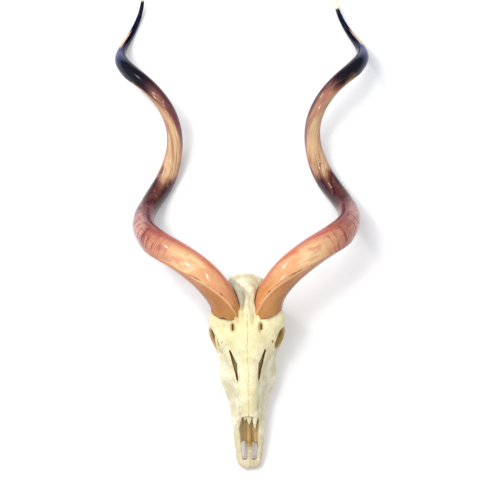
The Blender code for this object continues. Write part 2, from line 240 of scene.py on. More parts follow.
def ring(place: Place, centre: Sequence[float], facing: Sequence[float], radius: float,
         thickness: float) -> Array:
    """Distance to a round ring: to the circle in the plane that faces that way, less the thickness.

    Args:
        place: Arrays of coordinates.
        centre: The middle of the circle.
        facing: The direction square to its plane.
        radius: The circle's radius.
        thickness: The radius of the ring's own section.

    Returns:
        The distances, below zero inside.
    """
    normal = np.array(facing) / np.linalg.norm(facing)
    out = [p - c for p, c in zip(place, centre)]
    rise = sum(o * n for o, n in zip(out, normal))
    flat = np.sqrt(np.maximum(sum(o * o for o in out) - rise * rise, 0.0))
    return np.sqrt((flat - radius) ** 2 + rise * rise) - thickness


def tube_faces(rings: int, sides: int) -> list[list[int]]:
    """Faces of a closed surface: quads between its rings, and a fan to a pole at each end.

    Args:
        rings: Number of rings, stored one after another.
        sides: Points in each ring; the two poles follow the last ring.

    Returns:
        Lists of vertex numbers.
    """
    ring_start = np.arange(rings - 1)[:, None] * sides
    side = np.arange(sides)[None]
    after = (side + 1) % sides
    quads = np.stack([ring_start + side, ring_start + after,
                      ring_start + sides + after, ring_start + sides + side], axis=-1)
    last = (rings - 1) * sides
    first_pole = rings * sides
    fans = [[k, (k + 1) % sides, first_pole] for k in range(sides)]
    fans += [[last + k, last + (k + 1) % sides, first_pole + 1] for k in range(sides)]
    return quads.reshape(-1, 4).tolist() + fans


def new_object(name: str, data: bpy.types.ID) -> bpy.types.Object:
    """Make an object of a mesh, a light or a camera, and put it into the scene."""
    made = bpy.data.objects.new(name, data)
    bpy.context.collection.objects.link(made)
    return made


def add_piece(name: str, points: Array, faces: list[list[int]]) -> bpy.types.Object:
    """Make an object of its own from points, in metres, with its faces turned outwards.

    Args:
        name: The object's name.
        points: Rows of x, y, z in the row's frame.
        faces: Lists of vertex numbers.

    Returns:
        The object, smooth-shaded, at the origin.
    """
    mesh = bpy.data.meshes.new(name)
    mesh.from_pydata(points.tolist(), [], faces)
    shape = bmesh.new()
    shape.from_mesh(mesh)
    bmesh.ops.recalc_face_normals(shape, faces=shape.faces)
    shape.to_mesh(mesh)
    shape.free()
    mesh.shade_smooth()
    return new_object(name, mesh)


def keep_attribute(piece: bpy.types.Object, name: str, values: Array) -> None:
    """Store one number or one vector for each point of the piece, for its material to read.

    Args:
        piece: The object.
        name: The attribute's name.
        values: One value or one row of three for each point.
    """
    vector = values.ndim == 2
    layer = piece.data.attributes.new(name, "FLOAT_VECTOR" if vector else "FLOAT", "POINT")
    layer.data.foreach_set("vector" if vector else "value", values.astype(np.float32).ravel())


def hand_over(piece: bpy.types.Object, node: str) -> None:
    """Hang the piece on the body that it rides on, hide the CAD node's part that it stands for, and log
    it.
    """
    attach(piece, BODY)
    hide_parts(node)
    LOG.info("made %s: %d faces", piece.name, len(piece.data.polygons))


def linear(colour: Colour) -> tuple[float, float, float, float]:
    """A colour given as it looks, from 0 to 255, as the light values that shaders take."""
    parts = [c / 255 for c in colour]
    return (*[p / 12.92 if p <= 0.04045 else ((p + 0.055) / 1.055) ** 2.4 for p in parts], 1.0)


class Wiring:
    """Adds nodes to one node tree and joins them."""

    def __init__(self, tree: Tree) -> None:
        """Work on this tree."""
        self.tree = tree

    def add(self, kind: str, inputs: dict | None = None, **settings: object) -> Node:
        """Add a node.

        Args:
            kind: The node's type.
            inputs: For each input's name or number, a socket to join or a value to set.
            settings: Properties of the node itself.

        Returns:
            The new node.
        """
        node = self.tree.nodes.new(kind)
        for name, value in settings.items():
            setattr(node, name, value)
        for key, value in (inputs or {}).items():
            if isinstance(value, Socket):
                self.tree.links.new(value, node.inputs[key])
            else:
                node.inputs[key].default_value = value
        return node

    def calc(self, operation: str, first: object, second: object = 0.0) -> Socket:
        """The result of a Math node on one or two numbers or sockets."""
        return self.add("ShaderNodeMath", {0: first, 1: second}, operation=operation).outputs[0]

    def times(self, first: object, second: object) -> Socket:
        """One value times the other."""
        return self.calc("MULTIPLY", first, second)

    def plus(self, first: object, second: object, weight: float = 1.0) -> Socket:
        """The first value plus the second times its weight."""
        terms = {0: second, 1: weight, 2: first}
        return self.add("ShaderNodeMath", terms, operation="MULTIPLY_ADD").outputs[0]

    def swayed(self, value: object, cloud: object, reach: float) -> Socket:
        """The value plus the cloud's difference from a half times the reach."""
        return self.plus(value, self.calc("SUBTRACT", cloud, 0.5), reach)

    def mix(self, share: object, first: object, second: object) -> Socket:
        """The first colour, going over to the second by the share."""
        return self.add("ShaderNodeMix", {0: share, 6: first, 7: second}, data_type="RGBA").outputs[2]

    def stained(self, colour: object, amount: object, tone: Colour, strength: float = 1.0) -> Socket:
        """The colour, going over to a tone by the amount times its strength."""
        share = amount if strength == 1.0 else self.times(amount, strength)
        return self.mix(share, colour, linear(tone))

    def remap(self, value: object, low: float, high: float, to_low: float = 0.0,
              to_high: float = 1.0) -> Socket:
        """The value moved smoothly from one range to another, and kept within it."""
        ends = {0: value, 1: low, 2: high, 3: to_low, 4: to_high}
        return self.add("ShaderNodeMapRange", ends, interpolation_type="SMOOTHSTEP").outputs[0]

    def window(self, value: object, low: float, high: float, soft: float) -> Socket:
        """One between low and high, and zero outside, with soft ends."""
        return self.times(self.remap(value, low - soft, low + soft),
                          self.remap(value, high - soft, high + soft, 1.0, 0.0))

    def noise(self, vector: object, scale: object, detail: float = 4.0,
              roughness: float = 0.55) -> Socket:
        """Cloudy noise from 0 to 1 at the vector's place."""
        given = {"Vector": vector, "Scale": scale, "Detail": detail, "Roughness": roughness}
        return self.add("ShaderNodeTexNoise", given).outputs[0]

    def stretched(self, vector: object, scale: Sequence[float]) -> Socket:
        """The vector with each of its parts multiplied."""
        return self.add("ShaderNodeMapping", {"Vector": vector, "Scale": scale}).outputs[0]

    def ramp(self, value: object, stops: Ramp) -> Socket:
        """Read a table of colours.

        Args:
            value: Where to read it, from 0 to 1.
            stops: Pairs of a place and a colour.

        Returns:
            The colour there.
        """
        node = self.add("ShaderNodeValToRGB", {0: value})
        elements = node.color_ramp.elements
        while len(elements) < len(stops):
            elements.new(1.0)
        for element, (place, colour) in zip(elements, stops):
            element.position = place
            element.color = linear(colour)
        return node.outputs[0]

    def attribute(self, name: str) -> Node:
        """The node that reads a piece's attribute."""
        return self.add("ShaderNodeAttribute", attribute_name=name)

    def parts(self, vector: object) -> list[Socket]:
        """The vector's three numbers."""
        return list(self.add("ShaderNodeSeparateXYZ", {0: vector}).outputs)

    def group(self, tree: Tree, inputs: dict) -> Node:
        """Place a shared group."""
        return self.add("ShaderNodeGroup", inputs, node_tree=tree)

    def dress(self, colour: Socket, rough: Socket, relief: Socket, strength: float) -> Node:
        """Join the looks to the material's shader.

        Args:
            colour: The base colour.
            rough: The roughness.
            relief: Heights of the bumps, in millimetres.
            strength: How strongly the bumps show.

        Returns:
            The shader.
        """
        shader = self.tree.nodes["Principled BSDF"]
        bumped = self.add("ShaderNodeBump", {"Height": relief, "Distance": MM, "Strength": strength})
        for name, value in (("Base Color", colour), ("Roughness", rough),
                            ("Normal", bumped.outputs[0])):
            self.tree.links.new(value, shader.inputs[name])
        return shader


def new_material(name: str) -> tuple[bpy.types.Material, Wiring]:
    """Start a material.

    Args:
        name: The material's name.

    Returns:
        The material, and the wiring of its nodes.
    """
    surface = bpy.data.materials.new(name)
    surface.use_nodes = True
    return surface, Wiring(surface.node_tree)


def new_group(name: str, inputs: dict[str, float | None],
              outputs: Sequence[str]) -> tuple[Tree, Wiring, Node, Node]:
    """Start a node group.

    Args:
        name: The group's name.
        inputs: For each input its default number, or None for a vector.
        outputs: Names of the numbers that it puts out.

    Returns:
        The group's tree, its wiring, and its input and output nodes.
    """
    tree = bpy.data.node_groups.new(name, "ShaderNodeTree")
    for label, value in inputs.items():
        kind = "NodeSocketVector" if value is None else "NodeSocketFloat"
        socket = tree.interface.new_socket(label, in_out="INPUT", socket_type=kind)
        if value is not None:
            socket.default_value = value
    for label in outputs:
        tree.interface.new_socket(label, in_out="OUTPUT", socket_type="NodeSocketFloat")
    return tree, Wiring(tree), tree.nodes.new("NodeGroupInput"), tree.nodes.new("NodeGroupOutput")


class SharedEffects:
    """Node groups that more than one finish uses."""

    def __init__(self) -> None:
        """Build each group once."""
        self.grain = self._grain()
        self.line = self._line()

    def _grain(self) -> Tree:
        """Broad mottling, fine mottling and long fibres.

        Returns:
            A group that takes a vector, a scale and a vector for the fibres, and puts out three masks.
        """
        tree, wiring, given, out = new_group(
            "natural grain", {"Vector": None, "Scale": 40.0, "Fibre Vector": None},
            ("Broad", "Fine", "Fibre"))
        vector, scale, fibres = (given.outputs[label] for label in ("Vector", "Scale", "Fibre Vector"))
        for label, mask in (("Broad", wiring.noise(vector, scale, 3.0, 0.5)),
                            ("Fine", wiring.noise(vector, wiring.times(scale, 7.0), 5.0, 0.5)),
                            ("Fibre", wiring.noise(fibres, 1.0, 4.0, 0.6))):
            tree.links.new(mask, out.inputs[label])
        return tree

    def _line(self) -> Tree:
        """A thin wandering line where a signed distance passes zero.

        Returns:
            A group that takes the distance, a vector, the line's half width and how far it wanders, all
            in millimetres but the vector, and puts out a mask.
        """
        tree, wiring, given, out = new_group(
            "thin line", {"Distance": 0.0, "Vector": None, "Width": 0.8, "Wander": 2.0}, ("Line",))
        wave = wiring.noise(given.outputs["Vector"], 160.0, 3.0)
        swing = wiring.times(wiring.calc("SUBTRACT", wave, 0.5), given.outputs["Wander"])
        away = wiring.calc("ABSOLUTE", wiring.plus(given.outputs["Distance"], swing))
        share = wiring.calc("DIVIDE", away, given.outputs["Width"])
        tree.links.new(wiring.remap(share, 0.35, 1.0, 1.0, 0.0), out.inputs["Line"])
        return tree

    def grain_on(self, wiring: Wiring, place: object, scale: float, fibres: object) -> list[Socket]:
        """Place the grain in a material.

        Args:
            wiring: The material's wiring.
            place: The vector for the mottling.
            scale: How fine the mottling is.
            fibres: The stretched vector for the fibres.

        Returns:
            The broad, fine and fibre masks.
        """
        given = {"Vector": place, "Scale": scale, "Fibre Vector": fibres}
        return list(wiring.group(self.grain, given).outputs)


@dataclass(frozen=True)
class BoneFinish:
    """Clean dry bone: cream, yellower on the forehead, with painted shade on its sides and left of the
    crest, and brown in its hollows from stain with painted shade.
    """

    light: Colour = (236, 230, 202)
    dark: Colour = (206, 198, 160)
    warm: Colour = (234, 220, 164)
    # Greyish green of the painted shade on the jaw's sides and of the painted shadow left of the crest.
    shade_grey: Colour = (168, 164, 148)
    # Brown of the stains, also laid on as painted shade in the hollows and in the lower part of the
    # painted shadow.
    stain: Colour = (176, 142, 84)
    # Darkest brown in the most hidden places: stain with painted shade.
    deep_stain_and_shade: Colour = (172, 120, 62)
    seam: Colour = (140, 104, 62)
    roughness: float = 0.5
    shine: float = 0.4
    mottling: float = 38.0
    fibre_stretch: Triple = (900, 120, 500)
    vein_stretch: Triple = (70.0, 16.0, 50.0)
    vein_width: float = 0.014
    pores: float = 420.0
    seam_width: float = 0.75
    seam_wander: float = 5.0
    across_strength: float = 0.4
    relief_strength: float = 0.8

    def material(self, effects: SharedEffects) -> bpy.types.Material:
        """Build the material.

        Args:
            effects: The shared node groups.

        Returns:
            A material that reads the attributes hollow, tint and seams.
        """
        surface, wiring = new_material("dry bone")
        place = wiring.add("ShaderNodeTexCoord").outputs["Object"]
        grain = effects.grain_on(wiring, place, self.mottling,
                                 wiring.stretched(place, self.fibre_stretch))
        broad, fine, fibre = grain
        patchy = wiring.remap(wiring.noise(place, 70.0), 0.35, 0.6, 0.25, 0.8)
        seam = self._seams(wiring, effects, place)
        veins = wiring.noise(wiring.stretched(place, self.vein_stretch), 1.0, 3.0)
        off_vein = wiring.calc("ABSOLUTE", wiring.calc("SUBTRACT", veins, 0.5))
        crack = wiring.times(wiring.remap(off_vein, 0.0, self.vein_width, 1.0, 0.0), patchy)
        colour = self._mottled(wiring, grain)
        colour = wiring.stained(colour, wiring.times(seam, patchy), self.seam)
        # Stain with painted shade: browner and darker by how hidden each point is.
        hollow = wiring.plus(wiring.remap(fine, 0.2, 0.8, -0.06, 0.06),
                             wiring.attribute("hollow").outputs["Fac"])
        colour = wiring.stained(colour, wiring.remap(hollow, 0.34, 0.72, 0.0, 0.8), self.stain)
        colour = wiring.stained(colour, wiring.remap(hollow, 0.62, 0.98, 0.0, 0.85), self.deep_stain_and_shade)
        colour = wiring.stained(colour, crack, self.seam, 0.42)
        rough = wiring.remap(fine, 0.3, 0.7, self.roughness - 0.08, self.roughness + 0.12)
        off_pore = wiring.add("ShaderNodeTexVoronoi", {"Vector": place, "Scale": self.pores},
                              feature="DISTANCE_TO_EDGE").outputs[0]
        relief = wiring.times(wiring.remap(off_pore, 0.0, 0.25, -0.06, 0.0),
                              wiring.remap(broad, 0.45, 0.6))
        for part, height in ((fine, 0.50), (crack, -0.25), (fibre, 0.30), (seam, -0.35)):
            relief = wiring.plus(relief, part, height)
        shader = wiring.dress(colour, rough, relief, self.relief_strength)
        shader.inputs["Specular IOR Level"].default_value = self.shine
        return surface

    def _mottled(self, wiring: Wiring, grain: Sequence[Socket]) -> Socket:
        """The bone's cream, light and dark in patches and along its fibres, and tinted by place, partly
        with painted shade.

        Args:
            wiring: The material's wiring.
            grain: The broad, fine and fibre masks of the shared grain.

        Returns:
            The colour.
        """
        broad, fine, fibre = grain
        colour = wiring.mix(wiring.remap(broad, 0.38, 0.62), linear(self.dark), linear(self.light))
        colour = wiring.stained(colour, wiring.remap(fine, 0.45, 0.75, 0.0, 0.45), self.dark)
        colour = wiring.stained(colour, wiring.remap(fibre, 0.50, 0.70, 0.0, 0.30), self.dark)
        cloud = wiring.remap(broad, 0.3, 0.65, 0.7, 1.0)
        tints = wiring.parts(wiring.attribute("tint").outputs["Vector"])
        # The tints: warmth, painted shade, and stain with part of the painted shadow in it.
        for mask, tone in zip(tints, (self.warm, self.shade_grey, self.stain)):
            colour = wiring.stained(colour, wiring.times(mask, cloud), tone)
        return colour

    def _seams(self, wiring: Wiring, effects: SharedEffects,
               place: Socket) -> Socket:
        """The seams between the bones as one mask, with the one across the forehead fainter.

        Args:
            wiring: The material's wiring.
            effects: The shared node groups.
            place: The place on the bone, which makes the seams wander.

        Returns:
            The mask.
        """
        middle, side, across = (
            wiring.group(effects.line, {"Distance": distance, "Vector": place,
                                        "Width": self.seam_width,
                                        "Wander": self.seam_wander}).outputs[0]
            for distance in wiring.parts(wiring.attribute("seams").outputs["Vector"]))
        return wiring.calc("MAXIMUM", wiring.calc("MAXIMUM", middle, side),
                           wiring.times(across, self.across_strength))


@dataclass(frozen=True)
class HornPlaces:
    """What a horn's colours follow: the shared grain's three masks, rings round the horn, the share
    of its length, the same share drifted, and how far a place faces outwards, up and to the front."""

    wiring: Wiring
    broad: Socket
    fine: Socket
    fibre: Socket
    rings: Socket
    share: Socket
    drifted: Socket
    outwards: Socket
    upwards: Socket
    front: Socket


@dataclass(frozen=True)
class HornFinish:
    """Polished horn: peach at its base, mauve at the bend, cream above it, near black and then ivory.

    Each table gives a colour for shares of the horn's length: on its front, on its inner and its outer
    flank, and for the soft streaks that lie over them. Each stretch is where something starts, where it
    ends and how soft its ends are, in the same shares. The flanks' blue near the second bend is a
    painted reflection.
    """

    front: Ramp = (
        (0.0, (186, 144, 86)), (0.05, (202, 150, 100)), (0.10, (208, 152, 108)),
        (0.145, (214, 170, 124)), (0.19, (206, 164, 122)), (0.24, (198, 146, 118)),
        (0.31, (186, 124, 108)), (0.37, (196, 138, 124)), (0.41, (160, 102, 82)),
        (0.445, (164, 112, 78)), (0.48, (150, 104, 80)), (0.53, (202, 166, 128)),
        (0.62, (206, 176, 134)), (0.66, (196, 148, 118)), (0.70, (160, 108, 90)),
        (0.725, (92, 62, 56)), (0.745, (34, 38, 38)), (0.80, (22, 28, 34)), (0.84, (20, 22, 62)),
        (0.90, (8, 9, 28)), (1.0, (12, 12, 28)))
    # The blue beyond the second bend is a painted reflection on this flank.
    inner: Ramp = (
        (0.0, (190, 136, 70)), (0.08, (196, 112, 70)), (0.17, (188, 92, 76)), (0.26, (132, 58, 58)),
        (0.33, (104, 50, 60)), (0.39, (66, 32, 44)), (0.48, (58, 28, 40)), (0.53, (150, 92, 88)),
        (0.60, (112, 60, 78)), (0.66, (76, 32, 56)), (0.73, (96, 50, 52)), (0.785, (44, 34, 44)),
        (0.81, (18, 22, 54)), (0.86, (12, 18, 84)), (0.91, (6, 8, 36)), (1.0, (8, 8, 26)))
    # The strong blue at the second bend is a painted reflection on the outer flank.
    outer: Ramp = (
        (0.0, (140, 96, 50)), (0.08, (158, 96, 58)), (0.17, (186, 120, 84)), (0.26, (172, 104, 84)),
        (0.33, (206, 156, 140)), (0.385, (150, 96, 96)), (0.41, (70, 34, 44)), (0.48, (62, 30, 42)),
        (0.53, (176, 122, 106)), (0.60, (178, 126, 112)), (0.66, (190, 148, 106)),
        (0.73, (176, 134, 96)), (0.755, (34, 30, 40)), (0.80, (14, 18, 56)), (0.845, (20, 34, 140)),
        (0.88, (10, 14, 52)), (1.0, (8, 8, 26)))
    streaks: Ramp = (
        (0.0, (188, 120, 72)), (0.12, (212, 132, 96)), (0.22, (170, 92, 78)),
        (0.28, (112, 48, 50)), (0.36, (130, 66, 72)), (0.42, (66, 32, 38)), (0.48, (76, 40, 46)),
        (0.55, (160, 112, 88)), (0.62, (148, 92, 76)), (0.69, (70, 34, 42)),
        (0.76, (20, 26, 32)), (1.0, (40, 42, 70)))
    ink: Colour = (24, 22, 34)
    tan: Colour = (222, 176, 136)
    ivory: Colour = (250, 243, 206)
    # Dark brown of the rim's notches and of the painted shade along the rim's edge.
    chip_and_shade: Colour = (84, 66, 44)
    # Painted shade in the groove along the keel's crest.
    crease: Colour = (110, 58, 36)
    # Painted highlight beside the crease along the keel.
    pale: Colour = (244, 208, 172)
    blush: Colour = (200, 120, 96)
    cream: Colour = (224, 196, 148)
    facet: Colour = (154, 102, 58)
    crease_reach: Triple = (0.02, 0.15, 0.03)
    facet_reach: Triple = (-0.1, 0.14, 0.05)
    cream_reach: Triple = (0.15, 0.19, 0.02)
    first_bend: Triple = (0.21, 0.46, 0.05)
    ringed: Triple = (0.22, 0.45, 0.06)
    dark_shoulders: Triple = (0.385, 0.50, 0.02)
    ink_reach: Triple = (0.455, 0.495, 0.012)
    inner_reach: Triple = (0.60, 0.735, 0.03)
    tongue_reach: Triple = (0.71, 0.80, 0.02)
    strip_reach: Triple = (0.875, 0.93, 0.012)
    strip_side: Triple = (0.02, 0.50, 0.12)
    base_fades: tuple[float, float] = (0.24, 0.34)
    coat_fades: tuple[float, float] = (0.68, 0.78)
    coat_at_base: float = 0.32
    coat_at_tip: float = 0.03
    coat_roughness: float = 0.05
    shine: float = 0.13
    roughness: float = 0.14
    ivory_blend: float = 0.006
    keel_radius: float = 33.0
    crease_width: float = 1.7
    crease_wander: float = 0.8
    relief_strength: float = 0.7

    def material(self, effects: SharedEffects, name: str, seed: float, ivory_from: float,
                 inner_stain: float) -> bpy.types.Material:
        """Build one horn's material.

        Args:
            effects: The shared node groups.
            name: The material's name.
            seed: Moves the mottling, so that the two horns differ.
            ivory_from: Share of the horn at which its ivory point starts.
            inner_stain: How dark its inner edge is before the second bend, from 0 to 1.

        Returns:
            A material that reads the attributes share, wrap, facing and chip.
        """
        surface, wiring = new_material(name)
        share = wiring.attribute("share").outputs["Fac"]
        wrap = wiring.attribute("wrap").outputs["Vector"]
        moved = wiring.add("ShaderNodeVectorMath", {0: wrap, 1: (seed, -seed, seed)}).outputs[0]
        broad, fine, fibre = effects.grain_on(wiring, wiring.stretched(moved, (1.0, 1.0, 0.6)), 1.3,
                                              wiring.stretched(moved, (5.5, 5.5, 0.32)))
        rings = wiring.noise(wiring.stretched(moved, (0.5, 0.5, 7.0)), 1.0, 4.0, 0.65)
        at = HornPlaces(wiring, broad, fine, fibre, rings, share, self._drifted(wiring, broad, share),
                        *wiring.parts(wiring.attribute("facing").outputs["Vector"]))
        colour = self._base_patches(at, self._sides(at))
        colour = self._streaked(at, colour, inner_stain)
        colour = self._dark_patches(at, colour)
        crease, highlight_band, facet = self._crease(wiring, effects, share, wrap)
        uneven = wiring.remap(broad, 0.35, 0.65, 0.35, 0.75)
        colour = wiring.stained(colour, wiring.times(facet, uneven), self.facet)
        # Painted shade in the crease along the keel, and a painted highlight beside it.
        colour = wiring.stained(colour, crease, self.crease, 0.9)
        colour = wiring.stained(colour, highlight_band, self.pale, 0.22)
        point = wiring.plus(share, fine, self.ivory_blend)
        tip = wiring.remap(point, ivory_from, ivory_from + self.ivory_blend)
        colour = wiring.stained(colour, tip, self.ivory)
        # Darker in the rim's notches, and painted shade along the rim's edge where the sheath meets the
        # bone.
        chipped_and_shaded = wiring.remap(wiring.attribute("chip_and_shade").outputs["Fac"], 0.35, 0.7)
        colour = wiring.stained(colour, chipped_and_shaded, self.chip_and_shade)
        rough = wiring.remap(fine, 0.3, 0.8, self.roughness - 0.05, self.roughness + 0.14)
        relief = wiring.times(fibre, 0.09)
        ringed = wiring.times(rings, wiring.window(share, *self.ringed))
        for part, height in ((ringed, 0.14), (crease, -0.5)):
            relief = wiring.plus(relief, part, height)
        shader = wiring.dress(colour, rough, relief, self.relief_strength)
        coat = wiring.remap(share, *self.coat_fades, self.coat_at_base, self.coat_at_tip)
        surface.node_tree.links.new(coat, shader.inputs["Coat Weight"])
        shader.inputs["Specular IOR Level"].default_value = self.shine
        shader.inputs["Coat Roughness"].default_value = self.coat_roughness
        return surface

    def _drifted(self, wiring: Wiring, cloud: Socket, share: Socket) -> Socket:
        """Move the share to and fro, so that the colours' borders are uneven, but less at the tip.

        Args:
            wiring: The material's wiring.
            cloud: The broad mask of the shared grain.
            share: Places along the horn.

        Returns:
            The drifted places.
        """
        steady = wiring.calc("SUBTRACT", 1.0, wiring.remap(share, 0.84, 0.94))
        drift = wiring.times(wiring.remap(cloud, 0.25, 0.75, -0.035, 0.035), steady)
        drift = wiring.times(drift, wiring.remap(share, 0.55, 0.68, 1.0, 0.45))
        return wiring.plus(share, drift)

    def _sides(self, at: HornPlaces) -> Socket:
        """Mix the colours of the front and of both flanks. Near the base the outer flank's colours
        are also on what faces down.

        Args:
            at: What the colours follow.

        Returns:
            The mixed colour.
        """
        wiring = at.wiring
        turned = wiring.swayed(wiring.swayed(at.front, at.broad, 0.7), at.fibre, 0.5)
        shoulders = wiring.times(wiring.window(at.share, *self.dark_shoulders), 0.17)
        flank = wiring.remap(wiring.calc("SUBTRACT", turned, shoulders), 0.42, 0.86, 1.0, 0.0)
        low = wiring.times(wiring.remap(at.upwards, -0.5, 0.5, 0.9, -0.9),
                           wiring.remap(at.share, *self.base_fades, 1.0, 0.0))
        outer = wiring.remap(wiring.plus(wiring.swayed(at.outwards, at.broad, 0.6), low), -0.25, 0.25)
        front, inner_flank, outer_flank = (wiring.ramp(at.drifted, table)
                                           for table in (self.front, self.inner, self.outer))
        return wiring.mix(flank, front, wiring.mix(outer, inner_flank, outer_flank))

    def _base_patches(self, at: HornPlaces, colour: Socket) -> Socket:
        """Lay the reddish mottling and the cream patch of the first stretch over the colour.

        Args:
            at: What the colours follow.
            colour: The colour so far.

        Returns:
            The new colour.
        """
        wiring = at.wiring
        mottle = wiring.times(wiring.remap(at.fine, 0.44, 0.66, 0.0, 0.55),
                              wiring.remap(at.broad, 0.40, 0.60))
        mottle = wiring.times(mottle, wiring.remap(at.share, *self.base_fades, 1.0, 0.0))
        patch = wiring.times(wiring.window(at.drifted, *self.cream_reach),
                             wiring.remap(wiring.plus(at.front, at.broad, 0.8), 1.05, 1.35))
        return wiring.stained(wiring.stained(colour, mottle, self.blush), patch, self.cream, 0.65)

    def _streaked(self, at: HornPlaces, colour: Socket, inner_stain: float) -> Socket:
        """Lay the dark inner edge before the second bend over the colour, then long streaks, and
        rings and blots at the first bend.

        Args:
            at: What the colours follow.
            colour: The colour so far.
            inner_stain: How dark the inner edge is.

        Returns:
            The new colour.
        """
        wiring = at.wiring
        edge = wiring.remap(wiring.swayed(at.outwards, at.fibre, 2.2), -0.45, 0.0, inner_stain, 0.0)
        edge = wiring.times(edge, wiring.window(at.share, *self.inner_reach))
        near_bend = wiring.window(at.share, *self.first_bend)
        along = wiring.times(wiring.remap(at.fibre, 0.47, 0.61),
                             wiring.remap(at.share, 0.24, 0.44, 0.28, 0.75))
        round_it = wiring.times(wiring.remap(at.rings, 0.46, 0.60, 0.0, 0.9), near_bend)
        blots = wiring.times(wiring.remap(at.fine, 0.54, 0.66, 0.0, 0.5), near_bend)
        amount = wiring.calc("MAXIMUM", wiring.calc("MAXIMUM", along, round_it), blots)
        colour = wiring.mix(edge, colour, wiring.ramp(at.drifted, self.inner))
        return wiring.mix(amount, colour, wiring.ramp(at.drifted, self.streaks))

    def _dark_patches(self, at: HornPlaces, colour: Socket) -> Socket:
        """Lay the inky patches beyond the first bend and the tan strip near the tip over the colour.

        Args:
            at: What the colours follow.
            colour: The colour so far.

        Returns:
            The new colour.
        """
        wiring = at.wiring
        dark = wiring.times(wiring.window(at.share, *self.ink_reach),
                            wiring.remap(wiring.plus(at.broad, at.front, -0.35), 0.22, 0.42))
        tongue = wiring.times(wiring.window(at.share, *self.tongue_reach),
                              wiring.remap(wiring.plus(at.front, at.outwards, -0.25), 0.6, 0.8))
        colour = wiring.stained(colour, wiring.calc("MAXIMUM", dark, tongue), self.ink, 0.88)
        strip = wiring.times(wiring.window(at.share, *self.strip_reach),
                             wiring.window(at.outwards, *self.strip_side))
        return wiring.stained(colour, strip, self.tan)

    def _crease(self, wiring: Wiring, effects: SharedEffects, share: Socket,
                wrap: Socket) -> tuple[Socket, ...]:
        """Find the crease along the keel above the rim, painted dark as shade in its groove, the
        painted highlight along it and the facet beside it.

        Args:
            wiring: The material's wiring.
            effects: The shared node groups.
            share: Places along the horn.
            wrap: Directions round the horn.

        Returns:
            Masks of the crease's painted shade, of the painted highlight and of the facet.
        """
        keelward, sideways, _ = wiring.parts(wrap)
        off_keel = wiring.times(sideways, self.keel_radius)
        line = wiring.group(effects.line, {"Distance": off_keel, "Vector": wrap,
                                           "Width": self.crease_width,
                                           "Wander": self.crease_wander}).outputs[0]
        here = wiring.times(wiring.remap(keelward, 0.0, 0.5), wiring.window(share, *self.crease_reach))
        broken = wiring.remap(wiring.noise(wrap, 1.7, 2.0), 0.42, 0.58, 0.15, 1.0)
        # Painted shade: a dark line in the groove along the keel's crest, broken in places.
        crease = wiring.times(wiring.times(line, here), broken)
        # Painted highlight: a strip a few millimetres beside the crease.
        highlight_band = wiring.times(wiring.window(off_keel, 1.5, 5.5, 1.5), here)
        facet = wiring.times(wiring.remap(off_keel, 3.0, 9.0), wiring.window(share, *self.facet_reach))
        return crease, highlight_band, facet


@dataclass(frozen=True)
class ToothFinish:
    """Worn cheek teeth: ivory enamel, stained at the gum and in the folds of the worn face."""

    enamel: Colour = (232, 224, 198)
    shade: Colour = (196, 180, 140)
    stain: Colour = (96, 66, 38)
    roughness: float = 0.3
    mottling: float = 90.0
    fibre_stretch: Triple = (700, 700, 90)
    relief_strength: float = 0.6

    def material(self, effects: SharedEffects) -> bpy.types.Material:
        """Build the material.

        Args:
            effects: The shared node groups.

        Returns:
            A material that reads the attribute stain.
        """
        surface, wiring = new_material("tooth enamel")
        place = wiring.add("ShaderNodeTexCoord").outputs["Object"]
        broad, fine, fibre = effects.grain_on(wiring, place, self.mottling,
                                              wiring.stretched(place, self.fibre_stretch))
        colour = wiring.mix(wiring.remap(broad, 0.35, 0.65), linear(self.shade), linear(self.enamel))
        ragged = wiring.plus(wiring.attribute("stain").outputs["Fac"], fibre, 0.3)
        colour = wiring.stained(colour, wiring.remap(ragged, 0.45, 0.95), self.stain)
        rough = wiring.remap(fine, 0.3, 0.7, self.roughness - 0.06, self.roughness + 0.1)
        wiring.dress(colour, rough, wiring.times(fibre, 0.2), self.relief_strength)
        return surface


